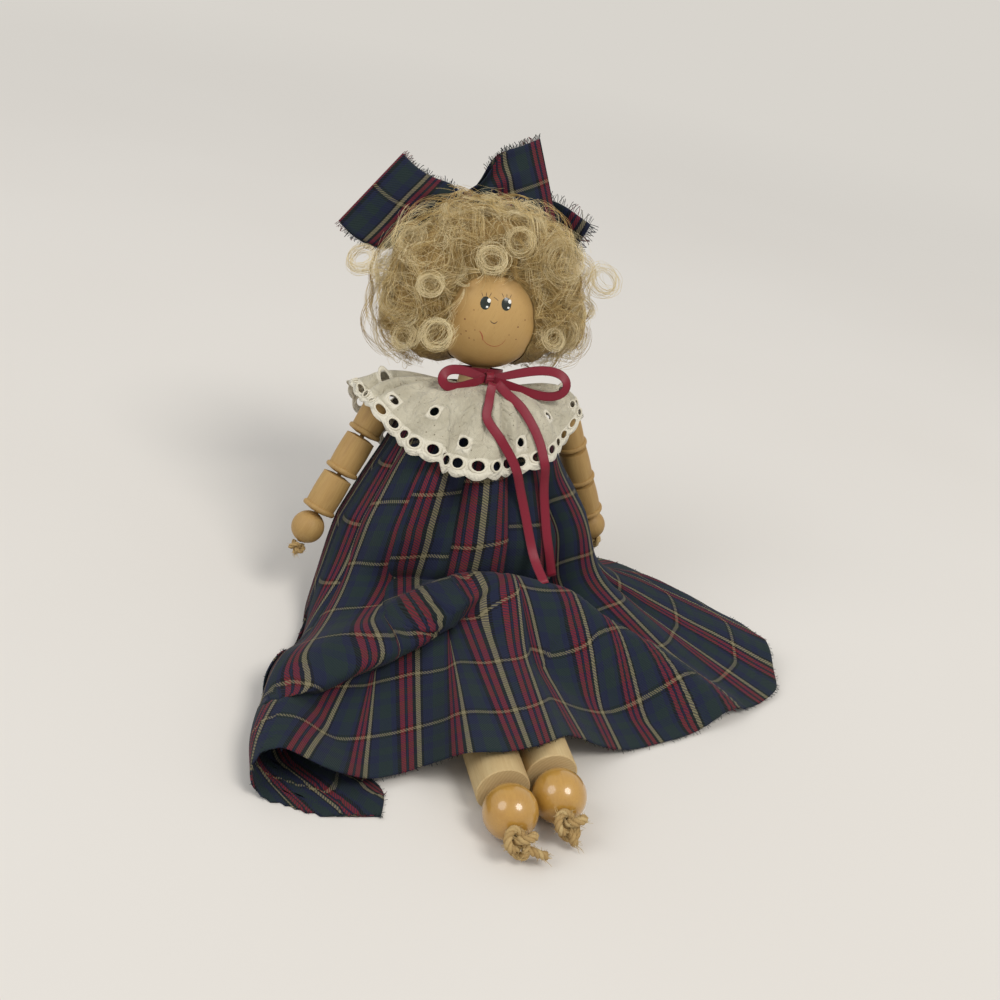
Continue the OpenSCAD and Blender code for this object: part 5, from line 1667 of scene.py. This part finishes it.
# %% One ring curl
def lock(rng, centre, radius, axis, turns, fibres, spread, points):
    """Strand paths of one ring curl, from the mop behind it."""
    centre = np.asarray(centre, float)
    root = unit(centre) * (mop_radius(unit(centre)) - 2)
    start_turn = rng.uniform(0, 2 * math.pi)
    hand = rng.choice([-1, 1])
    lead = points // 4
    a = np.linspace(0, 1, points - lead)
    b = np.linspace(0, 1, lead, endpoint=False)[:, None]
    out = []
    for _ in range(fibres):
        tilt = unit(unit(axis) + 0.16 * rng.normal(size=3))
        first = unit(np.cross(tilt, [0.21, 0.1, 1.0]))
        second = np.cross(tilt, first)
        phase = start_turn + rng.normal() * 0.3
        around = phase + hand * 2 * math.pi * turns * rng.uniform(0.7, 1.2) * a
        shrink = radius * rng.uniform(0.74, 1.14) * (1 - 0.24 * a)
        ring = centre + rng.normal(size=3) * spread + tilt * ((a - 0.4) * rng.uniform(0.3, 0.9) * radius)[:, None]
        ring = ring + shrink[:, None] * (np.cos(around)[:, None] * first + np.sin(around)[:, None] * second)
        along = hand * (second * math.cos(phase) - first * math.sin(phase))
        foot = root + rng.normal(size=3) * 1.8
        reach = np.linalg.norm(ring[0] - foot)
        p1 = foot + unit(foot) * reach * 0.3
        p2 = ring[0] - along * reach * 0.4
        run = (1 - b) ** 3 * foot + 3 * (1 - b) ** 2 * b * p1 + 3 * (1 - b) * b * b * p2 + b**3 * ring[0]
        path = np.vstack([run, ring])
        far = np.linalg.norm(path, axis=1, keepdims=True)
        out.append(path * np.maximum(1, (HEAD_R + 1) / np.maximum(far, 1e-6)))
    return out


print("ring curls ready")

# %% Lay out the mop
rng = np.random.default_rng(42)
HERO = [
    # ring centre from the head centre (x, in front, up), ring radius
    ((-57, 4, 15), 6.5), ((-38.5, 8, 25), 6.6), ((-27, 25, -12.5), 6.6), ((-31, 22, 7), 5.6), ((-8, 30, 19.5), 6.2),
    ((-21, 14, 34), 8.0), ((-5, 6, 43), 4.8), ((24, 24, 23), 9.8), ((50, 6, 18), 7.4), ((3, 27, 29), 6.0),
    ((-42, 6, -1), 6.4), ((-37, 10, -15), 5.8), ((34, 14, -3), 6.0), ((24, 22, -9), 4.8), ((10, 14, 41), 6.0),
    ((-47, 2, 12), 5.4), ((42, 4, 6), 6.5),
]
bundles = []
for centre, radius in HERO:
    facing = unit(np.array([-0.12, 0.8, 0.25]) + 0.35 * unit(np.array(centre)) + 0.18 * rng.normal(size=3))
    # These rings get a tint near the palest, 0.95: painted highlight on the curls in front
    bundles.append((lock(rng, centre, radius, facing, rng.uniform(1.5, 2.3), 17, 0.8, 46), 0.95, 0.7))
for d in even_directions(120):
    away, round_it = from_face(d)
    if away < hair_line(round_it) + 12 or d[2] < -0.5:
        continue
    axis = unit(0.45 * d + np.array([0, 0.5, 0.1]) + 0.55 * rng.normal(size=3))
    centre = d * (mop_radius(d) + rng.uniform(0.5, 4.5))
    ring = lock(rng, centre, rng.uniform(3.0, 6.0), axis, rng.uniform(1.0, 1.8), 12, 1.0, 32)
    bundles.append((ring, rng.uniform(0.35, 1.0), 0.72))
AT_LINE = 46
round_face = np.radians(rng.uniform(-118, 118, AT_LINE))
at_line = np.radians(hair_line(np.degrees(round_face)) + rng.uniform(-1, 9, AT_LINE))
at_line = np.stack([np.sin(at_line) * np.sin(round_face), np.cos(at_line), np.sin(at_line) * np.cos(round_face)], 1)
waves = waved(rng, even_directions(250), 15, (22, 44), (1.4, 3.6), (0.8, 2.2), 0.02, (0, 3.5), 14, 22)
waves += waved(rng, even_directions(130), 12, (18, 34), (2.4, 4.8), (1.0, 2.2), 0.1, (1, 6), 6, 24)
waves += waved(rng, at_line, 10, (10, 20), (1.0, 2.4), (0.5, 1.2), 0.03, (0, 2), 20, 18)
for lock_paths in waves:
    bundles.append((lock_paths, rng.uniform(0.05, 1.0), 0.85))
for lock_paths in waved(rng, even_directions(900), 1, (10, 30), (0.8, 2.6), (0.5, 1.6), 0.24, (0, 5), 12, 16):
    bundles.append((lock_paths, 0.85, 0.55))
paths, tapers, tints = [], [], []
for bundle, tone, thick in bundles:
    for path in bundle:
        paths.append(path)
        tapers.append(np.linspace(thick, thick * 0.55, len(path)))
        tints.append(float(np.clip(tone + rng.normal() * 0.2, 0, 1)))
print(len(bundles), "bundles,", len(paths), "strands")

# %% Hair finish and tubes
mohair, mohair_tree, mohair_shader, mohair_tone = tinted(
    "blond_mohair", [(0.0, srgb(160, 128, 68)), (0.45, srgb(212, 186, 122)), (1.0, srgb(244, 230, 186))], 0.42,
    Specular_IOR_Level=0.5,
)
mohair_place = object_place(mohair_tree)
mohair_shift = noise(mohair_tree, mohair_place, 120.0, 2.0)
mohair_shift = maths(mohair_tree, "MULTIPLY", mohair_shift, 0.4)
mohair_tone = blend_colour(mohair_tree, mohair_shift, mohair_tone, srgb(186, 154, 96))
mohair_tree.links.new(mohair_tone, mohair_shader.inputs["Base Color"])

STRAND_MM, PARTS = 0.23, 6
order = rng.permutation(len(paths))
for k in range(PARTS):
    chosen = order[k::PARTS]
    piece = tubes(
        f"curls_{k + 1}", [in_frame(head_spot(paths[i])) for i in chosen], STRAND_MM, 3, mohair,
        [tapers[i] for i in chosen], np.array([tints[i] for i in chosen]),
    )
    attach(piece, "head")
    print(piece.name, len(piece.data.polygons), "faces")

# %% The matted core under the strands, darker as painted shade
rows, cols = 44, 110
turn_round = np.linspace(-180, 180, cols, endpoint=False)[None]
line = hair_line(turn_round)
lat = line + (179 - line) * np.linspace(0, 1, rows)[:, None]
y, x = np.cos(np.radians(lat)), np.sin(np.radians(lat)) * np.sin(np.radians(turn_round))
z = np.sin(np.radians(lat)) * np.cos(np.radians(turn_round))
x, y = x * math.cos(FACE_TURN) + y * math.sin(FACE_TURN), y * math.cos(FACE_TURN) - x * math.sin(FACE_TURN)
mat_d = np.stack([x, y, z], -1)
lumps = np.sin(lat * 0.21 + 2 * np.sin(turn_round * 0.05)) * np.sin(turn_round * 0.16)
lumps = lumps + 0.5 * np.sin(lat * 0.5) * np.sin(turn_round * 0.33 + 1)
radius = mop_radius(mat_d) + 1.2 * lumps * soft_step(0, 0.3, np.linspace(0, 1, rows))[:, None]
mat_points = mat_d * radius[..., None]
mat_uv = np.stack(np.broadcast_arrays(turn_round * 0.5, lat * 0.5), -1)
under_hair, under_tree, under_shader = new_material("shaded_core_mohair", Roughness=0.6, Specular_IOR_Level=0.3)
under_flat = cloth_place(under_tree)
under_warp = add(under_tree, "ShaderNodeTexNoise", None, Vector=under_flat, Scale=0.12, Detail=2.0).outputs[1]
under_flat = add(
    under_tree, "ShaderNodeVectorMath", {"operation": "MULTIPLY_ADD"}, i0=under_warp, i1=(14, 14, 0), i2=under_flat
).outputs[0]
under_flat = mapped(under_tree, under_flat, Scale=(3.0, 0.25, 1))
under_line = noise(under_tree, under_flat, 1.2, 4.0)
# The core's colours are darker than the strands': painted shade deep in the mop
core_shade_stops = [(0.3, srgb(116, 90, 48)), (0.55, srgb(168, 140, 86)), (0.75, srgb(206, 182, 128))]
under_tree.links.new(ramp(under_tree, under_line, core_shade_stops), under_shader.inputs["Base Color"])
bump(under_tree, under_shader, under_line, 0.8)
under_piece = grid_piece("matted_under_hair", head_spot(mat_points), under_hair, mat_uv, closed=True)
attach(under_piece, "head")
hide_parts("hair")
print("matted core of", len(under_piece.data.polygons), "faces")

# %% [markdown]
# ## Floor and light
# The doll sits on a plain pale floor under a big soft lamp and a weaker one, with a pale world
# round it. The lamps stay low enough that a colour renders about as it is written. Far off, floor
# and world show one pale colour to the camera, by way of Light Path, so no edge is seen.

# %% The floor
PALE = srgb(216, 212, 205)
FLOOR_HALF = 60


def seen(tree):
    """1 where the camera looks straight or by a reflection, and 0 for light on the doll."""
    rays = add(tree, "ShaderNodeLightPath").outputs
    return maths(tree, "MAXIMUM", rays["Is Camera Ray"], rays["Is Glossy Ray"])


floor_mat, floor_tree, floor_shader = new_material("pale_floor", Roughness=0.9, Specular_IOR_Level=0.1)
floor_place = object_place(floor_tree)
floor_noise = noise(floor_tree, floor_place, 3.0, 2.0)
floor_tone = blend_colour(floor_tree, floor_noise, srgb(222, 218, 211), srgb(216, 211, 203))
floor_tree.links.new(floor_tone, floor_shader.inputs["Base Color"])
# Far from the doll and its shadow the floor fades into the pale background
far_off = add(floor_tree, "ShaderNodeVectorMath", {"operation": "LENGTH"}, i0=floor_place).outputs["Value"]
far_off = add(
    floor_tree, "ShaderNodeMapRange", {"interpolation_type": "SMOOTHSTEP"}, Value=far_off, i1=0.45, i2=1.8
).outputs[0]
far_off = maths(floor_tree, "MULTIPLY", far_off, seen(floor_tree))
pale_light = add(floor_tree, "ShaderNodeEmission", None, Color=PALE, Strength=1.0).outputs[0]
faded = add(
    floor_tree, "ShaderNodeMixShader", None, i0=far_off, i1=floor_shader.outputs[0], i2=pale_light
).outputs[0]
floor_tree.links.new(faded, floor_tree.nodes["Material Output"].inputs["Surface"])
corners = np.array([(-1, -1, 0), (1, -1, 0), (1, 1, 0), (-1, 1, 0)], float) * FLOOR_HALF
floor = mesh_piece("floor", corners, [(0, 1, 2, 3)], floor_mat, smooth=False)
print("floor laid")


# %% Lamps and world
def soft_lamp(name, at, size, power, colour):
    """A round lamp that shines on the middle of the doll."""
    lamp = bpy.data.objects.new(name, bpy.data.lights.new(name, "AREA"))
    lamp.data.shape = "DISK"
    lamp.data.size = size
    lamp.data.energy = power
    lamp.data.color = colour
    lamp.location = at
    aim = Vector((0, 0, 0.06)) - Vector(at)
    lamp.rotation_euler = aim.to_track_quat("-Z", "Y").to_euler()
    bpy.context.collection.objects.link(lamp)


soft_lamp("key_lamp", (0.9, -1.5, 2.7), 1.4, 46.0, (1.0, 0.97, 0.93))
soft_lamp("fill_lamp", (-2.2, -0.4, 2.0), 1.8, 24.0, (0.97, 0.98, 1.0))
world = bpy.data.worlds.new("pale_room")
bpy.context.scene.world = world
world.use_nodes = True
room = world.node_tree
room.nodes["Background"].inputs["Color"].default_value = (0.97, 0.98, 1.0, 1)
room.nodes["Background"].inputs["Strength"].default_value = 0.6
pale_room = add(room, "ShaderNodeBackground", None, Color=PALE, Strength=1.0).outputs[0]
room_look = add(
    room, "ShaderNodeMixShader", None, i0=seen(room), i1=room.nodes["Background"].outputs[0], i2=pale_room
).outputs[0]
room.links.new(room_look, room.nodes["World Output"].inputs["Surface"])
print("lamps and world set")
